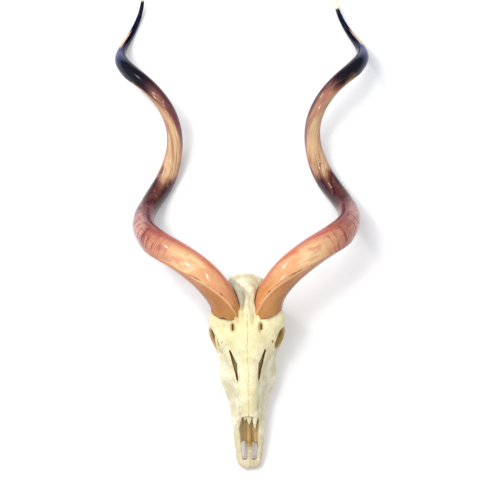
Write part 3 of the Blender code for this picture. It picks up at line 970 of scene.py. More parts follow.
@dataclass
class SpiralHorn:
    """One horn: a round section with a keel, carried along a line that winds round a leaning axis."""

    name: str
    side: int
    base: tuple[float, float, float]
    splay: float
    length: float
    quickening: float
    start: float
    turn: float
    winding: float
    reach: tuple[float, float, float]
    flare: tuple[float, float]
    rim_move: tuple[float, float]
    rim_rise: float
    ivory_from: float
    inner_stain: float
    seed: int
    chips: tuple[tuple[float, float, float], ...]
    lean: float = 21.3
    flare_length: float = 0.07
    end: float = 1.035
    rings: int = 620
    sides: int = 80
    radius: Stations = ((0.0, 32.0), (0.1, 33.0), (0.2, 31.5), (0.3, 28.0), (0.4, 24.3), (0.5, 22.2),
                        (0.62, 18.8), (0.75, 18.2), (0.82, 17.2), (0.86, 13.2), (0.91, 8.6),
                        (0.95, 6.6), (0.98, 5.4), (1.0, 4.4), (1.035, 2.0))
    keel_height: Stations = ((0.0, 0.10), (0.15, 0.16), (0.3, 0.22), (0.6, 0.2), (0.85, 0.16),
                             (1.035, 0.05))
    keel_width: float = 0.5
    keel_start: float = math.radians(35.0)
    keel_swing: float = math.radians(45.0)
    rim_drop: float = 0.5
    rim_length: float = 0.03
    ridge_height: Stations = ((0.0, 0.0), (0.05, 0.02), (0.2, 0.05), (0.3, 0.16), (0.40, 0.10),
                              (0.6, 0.02), (0.8, 0.01), (1.035, 0.0))
    ridge_spacing: float = 8.5
    small_spacing: float = 4.1
    small_ridges: float = 0.25
    grooves: Stations = ((0.9, 0.30, 0.09), (0.6, 2 * math.pi - 0.42, 0.12))
    groove_reach: Stations = ((1.0, 0.06, 0.09), (0.5, 0.7, 0.2))
    bumps: float = 0.012
    bump_length: float = 60.0
    notch_length: float = 0.006
    chip_length: float = 0.012
    # How far from the rim the painted shade along its edge reaches, as a share of the horn.
    rim_shade_length: float = 0.0022
    wrap_length: float = 30.0
    lip_size: float = 0.9
    nose_rings: Stations = ((0.85, 0.12), (0.5, 0.24))
    nose_end: float = 0.3

    def middle_line(self, share: Array) -> tuple[Array, Array]:
        """Work out the spiral: its axis leans back and splays, and its reach, climb and angle each
        follow a curve of the share, with a flare where the horn leaves the skull.

        Args:
            share: Places along the horn, one at the edge of the photo.

        Returns:
            Points of the middle line in the face frame, and the direction of the keel at each.
        """
        lean, splay = math.radians(self.lean), math.radians(self.splay)
        axis = np.array([math.sin(splay) * math.cos(lean), math.cos(splay) * math.cos(lean),
                         -math.sin(lean)])
        front = np.array([0.0, 0.0, 1.0]) - axis * axis[2]
        front /= np.linalg.norm(front)
        outer = np.cross(axis, front)
        angle = np.radians(self.start + self.turn * share + self.winding * share ** 2)
        reach = self.reach[0] + self.reach[1] * share + self.reach[2] * share ** 2
        climb = self.length * (share + self.quickening * share ** 2)
        away = np.outer(np.cos(angle), front) + np.outer(np.sin(angle), outer)
        start = math.radians(self.start)
        first = self.reach[0] * (math.cos(start) * front + math.sin(start) * outer)
        swing = (1 - np.exp(-share / self.flare_length))[:, None]
        line = (np.array(self.base) + np.outer(climb, axis) + away * reach[:, None] - first
                + swing * np.array([self.flare[0], 0.0, self.flare[1]])
                + np.outer(np.exp(-share / self.rim_length), (*self.rim_move, 0.0)))
        ahead = self.keel_start + self.keel_swing * swing[:, 0]
        keel = np.outer(np.cos(angle + ahead), front) + np.outer(np.sin(angle + ahead), outer)
        return line, keel

    def ridges(self, share: Array, length: Array, around: Array) -> Array:
        """Growth ridges: waves along the length whose spacing drifts, stronger in places round it.

        Args:
            share: Shares of the horn, one for each ring.
            length: Millimetres along the horn, one for each ring.
            around: Angles from the keel.

        Returns:
            Millimetres to add to the radius, by ring and side.
        """
        phase = (length / self.ridge_spacing + 0.9 * np.sin(length / 31.0 + self.seed)
                 + 0.5 * np.sin(length / 12.7))
        waves = np.sin(2 * math.pi * phase)[:, None] * (0.7 + 0.3 * np.cos(2 * around + self.seed))
        small = np.sin(2 * math.pi * length / self.small_spacing + 2.0 * np.sin(length / 17.0))
        return flow(share, self.ridge_height)[:, None] * (waves + self.small_ridges * small[:, None])

    def surface(self) -> tuple[Array, Array, Array, Array, Array]:
        """Work out the horn's points: at each share a ring square to the line, whose radius is
        the table's, swollen towards the keel, with ridges, a groove beside the keel and slow bumps.
        At the rim the rings lean into the rim's plane and its edge is notched, with marks that darken
        the notches and paint shade along the rim's edge.

        Returns:
            Points by ring and side in the lying frame, shares, millimetres along, angles, marks of the
            notches and of the painted shade at the rim.
        """
        share = self.end * np.linspace(0, 1, self.rings) ** 1.02
        line, keel = self.middle_line(share)
        forward = np.gradient(line, share, axis=0)
        forward /= np.linalg.norm(forward, axis=1)[:, None]
        keel -= forward * (keel * forward).sum(axis=1)[:, None]
        keel /= np.linalg.norm(keel, axis=1)[:, None]
        across = np.cross(forward, keel)
        around = 2 * math.pi * np.arange(self.sides) / self.sides
        off_keel = np.minimum(around, 2 * math.pi - around)
        steps = np.linalg.norm(np.diff(line, axis=0), axis=1)
        length = np.concatenate([[0.0], np.cumsum(steps)])
        radius = flow(share, self.radius)[:, None]
        height = flow(share, self.keel_height)[:, None]
        section = radius * (1 + height * (np.exp(-off_keel / self.keel_width) - 0.3))
        groove = sum(depth * bump_at(around, where, width) for depth, where, width in self.grooves)
        reach = sum(depth * bump_at(share, where, width) for depth, where, width in self.groove_reach)
        section -= groove * reach[:, None]
        slow = undulation((np.cos(around)[None] * radius, np.sin(around)[None] * radius,
                           length[:, None] + 0 * around[None]), self.bump_length, self.seed)
        section += self.ridges(share, length, around) + slow * radius * self.bumps
        spread = (np.cos(around)[None, :, None] * keel[:, None]
                  + np.sin(around)[None, :, None] * across[:, None])
        points = line[:, None] + section[:, :, None] * spread
        out, rise, front = np.moveaxis(points - line[:, None], -1, 0)
        at_rim = np.exp(-share / self.rim_length)[:, None]
        slant = self.rim_rise * out - self.rim_drop * front
        points[..., 1] += at_rim * (slant - rise)
        notch = sum(depth * bump_at(around, math.radians(where), math.radians(width))
                    for where, width, depth in self.chips)[None]
        points[..., 1] += notch * np.exp(-share / self.notch_length)[:, None]
        chip_and_shade = np.clip(notch / 2.0, 0, 1.2) * np.exp(-share / self.chip_length)[:, None]
        # Painted shade: a dark ring along the rim's edge, where the sheath meets the bone.
        worn = 0.42 * np.exp(-share / self.rim_shade_length)[:, None]
        chip_and_shade += worn * (0.6 + 0.6 * np.sin(5 * around + self.seed))
        points[..., 0] *= self.side
        lying = LIE.lying(points)
        lying[..., 2] = np.maximum(lying[..., 2], 0.0)
        return lying, share, length, around, chip_and_shade

    def build(self, finish: HornFinish, effects: SharedEffects) -> bpy.types.Object:
        """Make the horn, closed at its rim and its point, and dress it.

        Args:
            finish: The horn's finish.
            effects: The shared node groups.

        Returns:
            The finished object.
        """
        points, share, length, around, chip_and_shade = self.surface()
        rim_middle = points[0].mean(axis=0)
        point_middle = points[-1].mean(axis=0)
        ahead = point_middle - points[-4].mean(axis=0)
        lip = rim_middle + (points[0] - rim_middle) * self.lip_size + (points[2] - points[0]) * 0.1
        nose = [point_middle + (points[-1] - point_middle) * size + ahead * far
                for size, far in self.nose_rings]
        rings = np.concatenate([lip[None], points, np.stack(nose)])
        everything = np.vstack([rings.reshape(-1, 3), rim_middle,
                                point_middle + ahead * self.nose_end])
        piece = add_piece(f"{self.name}_sheath", LIE.row(everything),
                          tube_faces(len(rings), self.sides))
        ring_share, ring_length, ring_chip_and_shade = (
            np.concatenate([values[:1], values, values[-1:], values[-1:]])
            for values in (share, length, chip_and_shade))
        # The lip at the rim is darker still: painted shade where the sheath meets the bone.
        ring_chip_and_shade[0] += 0.5
        wrap = np.stack([np.broadcast_to(values, ring_chip_and_shade.shape).ravel() for values in
                         (np.cos(around), np.sin(around), ring_length[:, None] / self.wrap_length)],
                        axis=-1)
        keep_attribute(piece, "share", np.append(np.repeat(ring_share, self.sides), [0.0, self.end]))
        keep_attribute(piece, "wrap", np.vstack([wrap, (1, 0, 0), wrap[-1]]))
        # The rim's middle point is dark too: painted shade.
        keep_attribute(piece, "chip_and_shade", np.append(ring_chip_and_shade.ravel(), [1.0, 0.0]))
        keep_attribute(piece, "facing", self.facing(piece))
        piece.data.materials.append(finish.material(effects, f"polished {self.name}", float(self.seed),
                                                    self.ivory_from, self.inner_stain))
        hand_over(piece, self.name)
        return piece

    def facing(self, piece: bpy.types.Object) -> Array:
        """How far each point faces away from the skull's middle, up the face and out of the face."""
        normals = np.empty(len(piece.data.vertices) * 3, np.float32)
        piece.data.vertices.foreach_get("normal", normals)
        directions = LIE.turned(np.diag([self.side, 1.0, 1.0]))
        return normals.reshape(-1, 3) @ directions.T

    def rim_plane(self) -> tuple[Array, Array]:
        """A point of the rim's plane and its direction up the horn, in the face frame."""
        normal = np.array([-self.rim_rise, 1.0, self.rim_drop])
        normal /= np.linalg.norm(normal)
        centre = np.array(self.base) + (*self.rim_move, 0.0)
        return centre * (self.side, 1, 1), normal * (self.side, 1, 1)


@dataclass
class SkullBone:
    """The grown-together bone: forms joined and hollowed as distances, and skinned on a grid of cells.

    A skull has holes right through it, so its surface is no function of two parameters. It is the
    zero level of one function of three, computed as whole arrays. Forms off the middle are there on
    both sides.
    """

    horns: list[SpiralHorn]
    cell: float = 1.5
    kept: float = 0.72
    low: tuple[float, float, float] = (-84.0, -462.0, 2.0)
    high: tuple[float, float, float] = (84.0, -30.0, 172.0)
    tooth_height: float = 14.3
    rim_gap: float = 0.4
    horn_room: float = 31.8
    rim_dip: float = 25.0
    roundness: float = 2.6
    seat_blend: float = 2.5
    snout_from: float = -330.0
    snout_room: float = 60.0
    unevenness: Stations = ((0.30, 17.0, 5), (0.35, 44.0, 9))
    # Steps out from the bone for how hidden each point is, by which the material paints shade with
    # stain.
    hollow_steps: Stations = ((3.0, 0.25), (7.0, 0.35), (15.0, 0.4))
    body: Stations = (
        (-488.5, 14, -41, -50, 0.0), (-483, 21, -39, -52, 0.0), (-472, 25.2, -36, -53, 0.0),
        (-448, 28.5, -32, -56, 0.05), (-422, 31, -28, -62, 0.1), (-397, 33.5, -22, -72, 0.2),
        (-371, 36.5, -18, -84, 0.3), (-345, 41, -15, -95, 0.34), (-320, 49, -12, -106, 0.36),
        (-294, 54.5, -9, -114, 0.36), (-269, 54, -6, -118, 0.3), (-243, 56, -3, -118, 0.12),
        (-217, 58, -1, -104, 0.0), (-190, 58, 0, -92, 0.0), (-160, 52, -1, -86, 0.0),
        (-135, 40, -6, -84, 0.0))
    face_balls: dict = field(default_factory=lambda: {
        "forehead": ((0, -184, -26), (68, 46, 26), 12),
        "horn stalk": ((46, -168, -38), (35, 34, 34), 8),
        "brain case": ((0, -120, -66), (43, 46, 50), 14),
        "ridge between the horns": ((0, -146, -20), (10, 46, 20), 8),
        "brow": ((48, -205, -26), (12, 24, 12), 8),
        "corner of the brow": ((61, -173, -30), (17, 15, 12), 8),
        "cheek swelling": ((44, -286, -78), (14, 34, 17), 14),
        "nasal bones": ((0, -308, -14), (20.5, 96, 12), 4)})
    lying_balls: dict = field(default_factory=lambda: {
        "condyle": ((17, -62, 42), (12, 15, 17), 5),
        "ear bulla": ((24, -100, 37), (12, 17, 15), 6),
        "jaw joint": ((50, -112, 70), (17, 17, 11), 8),
        "back of the head": ((0, -68, 84), (43, 18, 34), 10),
        "nape crest": ((0, -58, 98), (34, 8, 9), 8)})
    lying_bars: dict = field(default_factory=lambda: {
        "tooth bed in front": ((29, -304, 26), (37, -250, 28), 12, 14, 10),
        "tooth bed behind": ((37, -250, 28), (41, -200, 30), 14, 13, 10),
        "cheek below the eye": ((48, -226, 70), (60, -200, 66), 10, 8.5, 10),
        "cheek arch in front": ((60, -200, 66), (70, -165, 66), 8, 6.5, 6),
        "cheek arch behind": ((70, -165, 66), (56, -112, 74), 6.5, 8, 6),
        "base of the skull": ((0, -66, 40), (0, -165, 50), 13, 11, 8),
        "muscle process": ((37, -76, 60), (38, -68, 17), 9, 4.5, 6),
        "wing of the palate": ((15, -196, 34), (14, -158, 52), 5, 5, 5),
        "ear tube": ((38, -98, 62), (56, -92, 78), 8, 6, 5),
        "shoulder of the brain case": ((0, -66, 117), (25, -68, 116), 15.5, 14, 10)})
    face_ball_hollows: dict = field(default_factory=lambda: {
        "hollow beside the snout": ((46, -352, -30), (17, 44, 22), 10),
        "hollow beside the ridge": ((30, -118, -4), (20, 32, 24), 8),
        "valley beside the ridge": ((15, -150, 4), (9.5, 28, 15), 6),
        "dip round the brow slit": ((30, -184, 3), (6.5, 13, 9), 4),
        "notch between the front bones": ((0, -490, -44), (1.8, 6.5, 16), 2)})
    lying_ball_hollows: dict = field(default_factory=lambda: {
        "eye socket": ((71, -186, 97), (36, 22, 21), 3),
        "temple": ((60, -126, 104), (13, 28, 26), 6),
        "brain room": ((0, -92, 88), (27, 26, 26), 3),
        "roof of the mouth": ((0, -262, 6), (24, 84, 24), 8),
        "throat side of the nose": ((0, -188, 52), (11, 32, 13), 4)})
    face_bar_hollows: dict = field(default_factory=lambda: {
        "nose opening": ((0, -388, -21), (0, -428, -33), 21.5, 19.0, 3)})
    lying_bar_hollows: dict = field(default_factory=lambda: {
        "great hole of the head": ((0, -30, 56), (0, -84, 62), 11.5, 11.5, 3),
        "side of the snout": ((0, -330, 4), (0, -430, -2), 18, 12, 8)})
    face_slots: dict = field(default_factory=lambda: {
        "brow slit": ((30, -178, -16), (30, -188, -16), 1.1, 2.0, 1),
        "upper slit beside the nose": ((37.5, -233, -36), (27.5, -262, -36), 1.2, 4.2, 1),
        "lower slit beside the nose": ((27.5, -262, -36), (22.5, -296, -36), 4.2, 1.1, 1),
        "slit in the palate": ((11.5, -437, -99), (10, -465, -99), 6.5, 5.4, 1),
        "hole under the brow": ((54, -215, -30), (54, -217, -30), 1.6, 1.6, 0.6)})
    lone_hollows: dict = field(default_factory=lambda: {
        "hollow left of the crest": ((-15, -124, -4), (11.5, 27, 20), 3)})
    eye_rings: dict = field(default_factory=lambda: {
        "rim of the eye socket": ((65.5, -185, 96), (0.88, -0.42, 0.24), 26.5, 4.7, 5)})
    free_bars: dict = field(default_factory=lambda: {
        "left outer point": ((-17, -362, -14), (-23.5, -398, -20), 7.0, 3.0, 2),
        "left inner point": ((-8.8, -366, -15), (-8.3, -381, -15), 6.0, 1.2, 1.5),
        "right inner point": ((0.3, -365, -16), (0.6, -390, -16), 9.5, 1.2, 1.5),
        "right outer point": ((12.2, -365, -17), (12.2, -398, -20), 9.0, 1.4, 1.5),
        "middle wall of the nose": ((-1.5, -372, -42), (0, -440, -50), 5.6, 5.6, 3),
        "right scroll of the nose": ((13, -378, -42), (13.5, -432, -48), 5.2, 4.6, 3),
        "left scroll of the nose": ((-19, -384, -40), (-18, -430, -46), 4.0, 4.0, 3),
        "crest right of the middle": ((8, -106, -24), (5, -172, -9), 9.5, 8.0, 9),
        "lip of the left eye socket": ((-66, -190, -31), (-61, -230, -42), 5.0, 4.5, 6)})
    # The painted shadow of the left horn ends at this edge: x for places up the face.
    shade_edge: Stations = ((-185, -14), (-150, -7), (-135, -5), (-121, 0), (-111, 2.5), (-102, -3),
                            (-93, -14), (-84, -26))
    seam_middle: Stations = ((-492, 1.0), (-470, 0.4), (-420, 1.2), (-380, 0.2), (-330, -0.8),
                             (-262, 0.6), (-225, -0.8), (-196, 0.9), (-150, 0.2))
    seam_side: Stations = ((-412, 20.0), (-392, 18.6), (-360, 19.2), (-330, 20.0), (-296, 21.6))
    seam_across: Stations = ((0, -236), (9, -234), (20, -240), (32, -250), (44, -262), (58, -276))
    seam_front: float = 0.45
    seam_fading: float = 40.0
    face_front: tuple[float, float] = (-40.0, 8.0)
    warm_spots: Stations = ((0.75, 0, math.inf, -190, 60), (0.55, 2, 20, -320, 90))
    # Painted shade on the sides of the upper jaw, stronger on the right.
    shade_spots: Stations = ((0.42, 36, 16, -330, 70), (0.2, -38, 14, -330, 60))
    stain_spots: Stations = ((0.25, 0, math.inf, -452, 22),)
    # The painted shadow left of the crest: greyish in its upper part, in the stain's colour in its
    # lower part.
    shade_blend: float = 1.5
    shade_start: float = -45.0
    grey_shade: tuple[float, ...] = (1.3, -150, 14, -80, 6)
    stain_shade: tuple[float, ...] = (0.3, -185, 20, -134, 10)
    floor_stain: tuple[float, float] = (0.8, 7.0)
    nose_room: Triple = (-444, -366, 25)
    nose_stain: Triple = (1.6, 9.0, 6.0)
    socket_stain: Triple = (1.1, 9.0, 3.0)
    socket_facing: float = 0.4
    wall_slope: tuple[float, float] = (0.75, 0.3)
    slit_stain: Triple = (0.9, 1.6, 0.8)
    slits_from: float = -300.0
    dip_stain: Triple = (0.45, 1.4, 1.2)

    def body_distance(self, face: Place) -> Array:
        """The long body: at each place along the face a rounded box, narrowed towards its top.

        Args:
            face: Arrays of coordinates in the face frame.

        Returns:
            The signed distance at each point.
        """
        x, y, z = face
        half_width, top, under, narrowing = (flow(y, self.body, k) for k in (1, 2, 3, 4))
        middle, half_height = (top + under) / 2, (top - under) / 2
        level = np.clip((z - middle) / half_height, -1.3, 1.3)
        wide = half_width * (1 - narrowing * np.clip(level, -0.2, 1.0))
        size = (np.abs(x / wide) ** self.roundness
                + np.abs((z - middle) / half_height) ** self.roundness)
        inner = (size ** (1 / self.roundness) - 1) * np.minimum(wide, half_height)
        ends = np.maximum(self.body[0][0] - y, y - self.body[-1][0])
        return np.maximum(inner, ends)

    def distance(self, place: Place) -> Array:
        """Below zero inside the bone and above zero outside, about the millimetres to its surface.

        Args:
            place: Arrays of coordinates in the lying frame.

        Returns:
            The signed distance at each point.
        """
        x, along, height = place
        mirrored = (np.abs(x), along, height)
        face, own_face = LIE.face(mirrored), LIE.face(place)
        bone = self.body_distance(face)
        for work, forms, form_of, here in (
                (join, self.face_balls, ball, face), (join, self.lying_balls, ball, mirrored),
                (join, self.lying_bars, bar, mirrored), (cut, self.face_ball_hollows, ball, face),
                (cut, self.lying_ball_hollows, ball, mirrored),
                (cut, self.face_bar_hollows, bar, face), (cut, self.lying_bar_hollows, bar, mirrored),
                (cut, self.face_slots, slot_down, face), (cut, self.lone_hollows, ball, own_face),
                (join, self.eye_rings, ring, mirrored), (join, self.free_bars, bar, own_face)):
            for *form, blend in forms.values():
                bone = work(bone, form_of(here, *form), blend)
        for rise, wavelength, seed in self.unevenness:
            bone = bone + rise * undulation(place, wavelength, seed)
        let_down = self.snout_room * (along < self.snout_from)
        bone = np.maximum(bone, self.tooth_height - height - let_down)
        for horn in self.horns:
            bone = self.clear_of(horn, bone, own_face)
        return bone

    def clear_of(self, horn: SpiralHorn, bone: Array, face: Place) -> Array:
        """End the bone in a flat seat under the horn's rim, and keep it clear of the horn above.

        Args:
            horn: The horn.
            bone: Signed distances to the bone.
            face: Arrays of coordinates in the face frame.

        Returns:
            The new signed distances.
        """
        centre, normal = horn.rim_plane()
        past_rim = sum((p - c) * n for p, c, n in zip(face, centre, normal)) + self.rim_gap
        line, _ = horn.middle_line(np.linspace(0.0, 0.2, 9))
        line = np.vstack([line[0] - (0, self.rim_dip, 0), line]) * (horn.side, 1, 1)
        room = np.full_like(bone, 1e3)
        for start, end in zip(line[:-1], line[1:]):
            room = np.minimum(room, bar(face, start, end, self.horn_room, self.horn_room))
        return cut(bone, np.maximum(room, -past_rim), self.seat_blend)

    def outward(self, place: Place) -> Array:
        """Directions out of the bone: the slope of the distance, over its own length.

        Args:
            place: Arrays of coordinates in the lying frame.

        Returns:
            Rows of unit vectors.
        """
        reach = 0.6
        slope = []
        for axis in range(3):
            ahead, behind = list(place), list(place)
            ahead[axis] = ahead[axis] + reach
            behind[axis] = behind[axis] - reach
            slope.append((self.distance(tuple(ahead)) - self.distance(tuple(behind))) / (2 * reach))
        slope = np.stack(slope, axis=-1)
        return slope / np.maximum(np.linalg.norm(slope, axis=1)[:, None], 1e-6)

    def skin(self) -> bpy.types.Object:
        """Find the surface in the grid of cells and thin its faces.

        Returns:
            The bone as an object without a material.
        """
        low, high = np.array(self.low), np.array(self.high)
        counts = np.ceil((high - low) / self.cell).astype(int) + 1
        axes = [low[k] + self.cell * np.arange(counts[k]) for k in range(3)]
        place = np.meshgrid(*axes, indexing="ij")
        grid = openvdb.FloatGrid()
        grid.copyFromArray(self.distance(tuple(place)).astype(np.float32))
        points, quads = grid.convertToQuads(isovalue=0.0)
        piece = add_piece("skull_bone", LIE.row(points * self.cell + low), quads.tolist())
        thin = piece.modifiers.new("fewer faces", "DECIMATE")
        thin.ratio = self.kept
        graph = bpy.context.evaluated_depsgraph_get()
        thinned = bpy.data.meshes.new_from_object(piece.evaluated_get(graph))
        piece.modifiers.clear()
        piece.data = thinned
        piece.data.shade_smooth()
        return piece

    def hollowness(self, place: Place, normals: Array) -> Array:
        """How hidden each point is: how much nearer the bone is, at steps out from it, than it would
        be over a flat surface. The material paints shade with stain in the hollows by it.

        Args:
            place: Arrays of coordinates in the lying frame.
            normals: Directions out of the bone.

        Returns:
            Shares from 0 to 1.
        """
        hidden = np.zeros_like(place[0])
        for step, weight in self.hollow_steps:
            ahead = tuple(p + n * step for p, n in zip(place, normals.T))
            hidden += weight * np.clip(1 - self.distance(ahead) / step, 0.0, 1.0)
        return hidden

    def seams(self, face: Place, normals: Array) -> Array:
        """Signed distances to the seams between the bones: along the middle, beside the nasal bones
        and across the forehead. Each is the coordinate less a curve of the other one.

        Args:
            face: Coordinates in the face frame.
            normals: Directions out of the bone in the lying frame.

        Returns:
            Rows of three distances in millimetres, large where there is no such seam.
        """
        x, y, _ = face
        off = self.seam_fading * np.maximum(self.seam_front - normals[:, 2], 0.0)
        kept = []
        for value, run, table in ((x, y, self.seam_middle), (np.abs(x), y, self.seam_side),
                                  (y, np.abs(x), self.seam_across)):
            distance = value - flow(run, table)
            beyond = np.maximum(np.maximum(table[0][0] - run, run - table[-1][0]), 0.0) + off
            kept.append(distance + np.where(distance < 0, -1.0, 1.0) * beyond)
        return np.stack(kept, axis=-1)

    def spots(self, face: Place, table: Stations) -> Array:
        """The sum of a table's soft spots, each a strength times a bell curve across and one up."""
        return sum(strength * bump_at(face[0], across, wide) * bump_at(face[1], up, high)
                   for strength, across, wide, up, high in table)

    def shade(self, face: Place, strength: float, start: float, start_run: float, end: float,
              end_run: float) -> Array:
        """A painted shadow of the left horn, left of the crest's edge, on one stretch of the face.

        Args:
            face: Coordinates in the face frame.
            strength: How strong it is.
            start: Where up the face it starts.
            start_run: Millimetres over which it comes up.
            end: Where it ends.
            end_run: Millimetres over which it fades.

        Returns:
            The painted shadow at each point.
        """
        x, y, _ = face
        left = fade(x, flow(y, self.shade_edge), self.shade_blend) * (x > self.shade_start)
        return strength * left * fade(-y, -start, start_run) * fade(y, end, end_run)

    def stains(self, face: Place, height: Array, normals: Array) -> Array:
        """The brown near the floor, in the nose and the eye sockets, and on the walls of the slits.

        Args:
            face: Coordinates in the face frame.
            height: Heights above the floor.
            normals: Directions out of the bone in the lying frame.

        Returns:
            The stain at each point.
        """
        x, y, z = face
        both = (np.abs(x), y, z)
        strength, run = self.floor_stain
        stain = strength * np.exp(-np.maximum(height - self.tooth_height, 0) / run)
        first, last, half_width = self.nose_room
        strength, depth, run = self.nose_stain
        in_nose = (y > first) * (y < last) * (both[0] < half_width)
        stain += strength * fade(z, flow(y, self.body, 2) - depth, run) * in_nose
        mirrored = LIE.lying(np.stack(both, axis=-1))
        centre, radii, _ = self.lying_ball_hollows["eye socket"]
        inwards = np.array(centre) - mirrored
        inwards[:, 0] *= np.where(x < 0, -1.0, 1.0)
        faces_in = (inwards * normals).sum(axis=1) / np.linalg.norm(inwards, axis=1)
        strength, reach, run = self.socket_stain
        stain += (strength * fade(ball(tuple(mirrored.T), centre, radii), reach, run)
                  * fade(-faces_in, 0.0, self.socket_facing))
        upright = fade(normals @ LIE.turned(np.array([0.0, 0.0, 1.0])), *self.wall_slope)
        strength, reach, run = self.slit_stain
        for *form, _ in self.face_slots.values():
            wall = fade(np.abs(slot_down(both, *form)), reach, run)
            stain += strength * upright * wall * (y > self.slits_from)
        strength, reach, run = self.dip_stain
        *form, _ = self.face_ball_hollows["dip round the brow slit"]
        return stain + strength * fade(ball(both, *form), reach, run)

    def tints(self, face: Place, height: Array, normals: Array) -> Array:
        """Where the bone is warm, where painted shade greys it, and where it is stained or under the
        lower part of the painted shadow.

        Args:
            face: Coordinates in the face frame.
            height: Heights above the floor.
            normals: Directions out of the bone in the lying frame.

        Returns:
            Rows of three shares.
        """
        middle, blend = self.face_front
        front = 1 / (1 + np.exp((middle - face[2]) / blend))
        warm = front * self.spots(face, self.warm_spots)
        # Painted shade on the jaw's sides, and the painted shadow left of the crest.
        shade_grey = self.spots(face, self.shade_spots) + self.shade(face, *self.grey_shade)
        # Stain, with the lower part of the painted shadow in the stain's colour.
        stain = (self.spots(face, self.stain_spots) + self.shade(face, *self.stain_shade)
                 + self.stains(face, height, normals))
        return np.clip(np.stack([warm, shade_grey, stain], axis=-1), 0.0, 1.0)

    def build(self, finish: BoneFinish, effects: SharedEffects) -> bpy.types.Object:
        """Make the bone, mark its hollows, seams and tints, and dress it.

        Args:
            finish: The bone's finish.
            effects: The shared node groups.

        Returns:
            The finished object.
        """
        piece = self.skin()
        flat = np.empty(len(piece.data.vertices) * 3, np.float32)
        piece.data.vertices.foreach_get("co", flat)
        points = flat.reshape(-1, 3).astype(float) / MM - np.array([*LIE.shift, 0.0])
        place = tuple(points.T)
        normals = self.outward(place)
        settled = points - normals * np.clip(self.distance(place), -0.5, 0.5)[:, None]
        piece.data.vertices.foreach_set("co", LIE.row(settled).astype(np.float32).ravel())
        piece.data.update()
        place = tuple(settled.T)
        face = LIE.face(place)
        # How hidden each point is, for the painted shade with stain in the hollows.
        keep_attribute(piece, "hollow", self.hollowness(place, normals))
        keep_attribute(piece, "seams", self.seams(face, normals))
        keep_attribute(piece, "tint", self.tints(face, place[2], normals))
        piece.data.materials.append(finish.material(effects))
        hand_over(piece, "skull")
        return piece


@dataclass
class CheekTooth:
    """One worn cheek tooth: two rounded lobes with ribs on the cheek side, worn to crescents."""

    name: str
    side: int
    centre: tuple[float, float]
    heading: float
    length: float
    width: float
    sides: int = 72
    squareness: float = 0.7
    levels: Stations = ((17.0, 0.80), (15.0, 0.90), (12.0, 0.97), (8.0, 1.0), (4.0, 0.975),
                        (1.2, 0.935), (0.3, 0.90), (0.0, 0.87), (0.0, 0.82), (0.0, 0.76),
                        (0.0, 0.66), (0.0, 0.54), (0.0, 0.42), (0.0, 0.30), (0.0, 0.18))
    crescent_depth: float = 2.0
    gum_height: float = 10.5
    gum_stain: float = 0.55
    crown_stain: float = 0.12
    crescent_stain: float = 0.9

    def outline(self) -> tuple[Array, Array]:
        """The crown seen from the root: a squared oval waisted between two lobes, with three ribs
        towards the cheek.

        Returns:
            Millimetres across and along the tooth, for each side.
        """
        around = 2 * math.pi * np.arange(self.sides) / self.sides
        along, across = (np.sign(part) * np.abs(part) ** self.squareness
                         for part in (np.cos(around), np.sin(around)))
        waist = 1 - 0.13 * np.exp(-((np.cos(around) / 0.22) ** 2))
        ribs = sum(0.05 * bump_at(around, math.radians(a), 0.11) for a in (38, 90, 142))
        return across * self.width / 2 * (waist + ribs), along * self.length / 2

    def build(self, surface: bpy.types.Material) -> bpy.types.Object:
        """Make the tooth: the outline carried from the root down over the crown, then in over the
        worn face, which is hollowed in a crescent in each lobe.

        Args:
            surface: The shared tooth material.

        Returns:
            The finished object.
        """
        across, along = self.outline()
        height, size = (np.array(column)[:, None] for column in zip(*self.levels))
        height = height + 0 * across[None]
        u, v = along[None] * size, across[None] * size
        lobe = np.abs(u / self.length * 2) * 2 - 1
        depth = v / self.width * 2
        crescent = bump_at(np.sqrt(lobe ** 2 + (depth - 0.35) ** 2), 0.55, 0.16) * (depth < 0.55)
        inside = (size < 0.85) & (height < 0.1)
        height = height + inside * (self.crescent_depth * crescent + 0.35 * bump_at(size, 0.5, 0.2))
        stain = (np.where(height > self.gum_height, self.gum_stain, self.crown_stain)
                 + inside * crescent * self.crescent_stain)
        forward = np.array([math.sin(self.heading), math.cos(self.heading)])
        x = (self.centre[0] + v * forward[1] + u * forward[0]) * self.side
        y = self.centre[1] + u * forward[1] - v * forward[0]
        rings = np.stack([x, y, height], axis=-1)
        poles = np.array([[self.centre[0] * self.side, self.centre[1], level]
                          for level in (height[0, 0], height[-1].mean())])
        piece = add_piece(f"{self.name}_crown", LIE.row(np.vstack([rings.reshape(-1, 3), poles])),
                          tube_faces(len(rings), self.sides))
        keep_attribute(piece, "stain", np.append(stain.ravel(), [0.6, 0.4]))
        piece.data.materials.append(surface)
        hand_over(piece, self.name)
        return piece


@dataclass
class ToothRows:
    """Both rows of six upper cheek teeth, set along a line that opens backwards and then closes."""

    teeth: tuple[tuple[str, float, float], ...] = (
        ("premolar_1", 12.5, 11.5), ("premolar_2", 14.0, 13.5), ("premolar_3", 14.5, 15.5),
        ("molar_1", 18.0, 17.5), ("molar_2", 20.5, 18.5), ("molar_3", 21.0, 17.5))
    start: tuple[float, float] = (29.0, -305.0)
    spread: float = math.radians(12.0)
    closing: float = math.radians(2.0)
    space: float = 0.6

    def build(self, finish: ToothFinish, effects: SharedEffects) -> list[bpy.types.Object]:
        """Make every tooth of both rows.

        Args:
            finish: The teeth's finish.
            effects: The shared node groups.

        Returns:
            The twelve objects.
        """
        surface = finish.material(effects)
        made = []
        for side, label in ((1, "right"), (-1, "left")):
            place, heading = np.array(self.start), self.spread
            for name, length, width in self.teeth:
                forward = np.array([math.sin(heading), math.cos(heading)])
                tooth = CheekTooth(f"tooth_{label}_{name}", side, tuple(place + forward * length / 2),
                                   heading, length, width)
                made.append(tooth.build(surface))
                place = place + forward * (length + self.space)
                heading -= self.closing
        return made


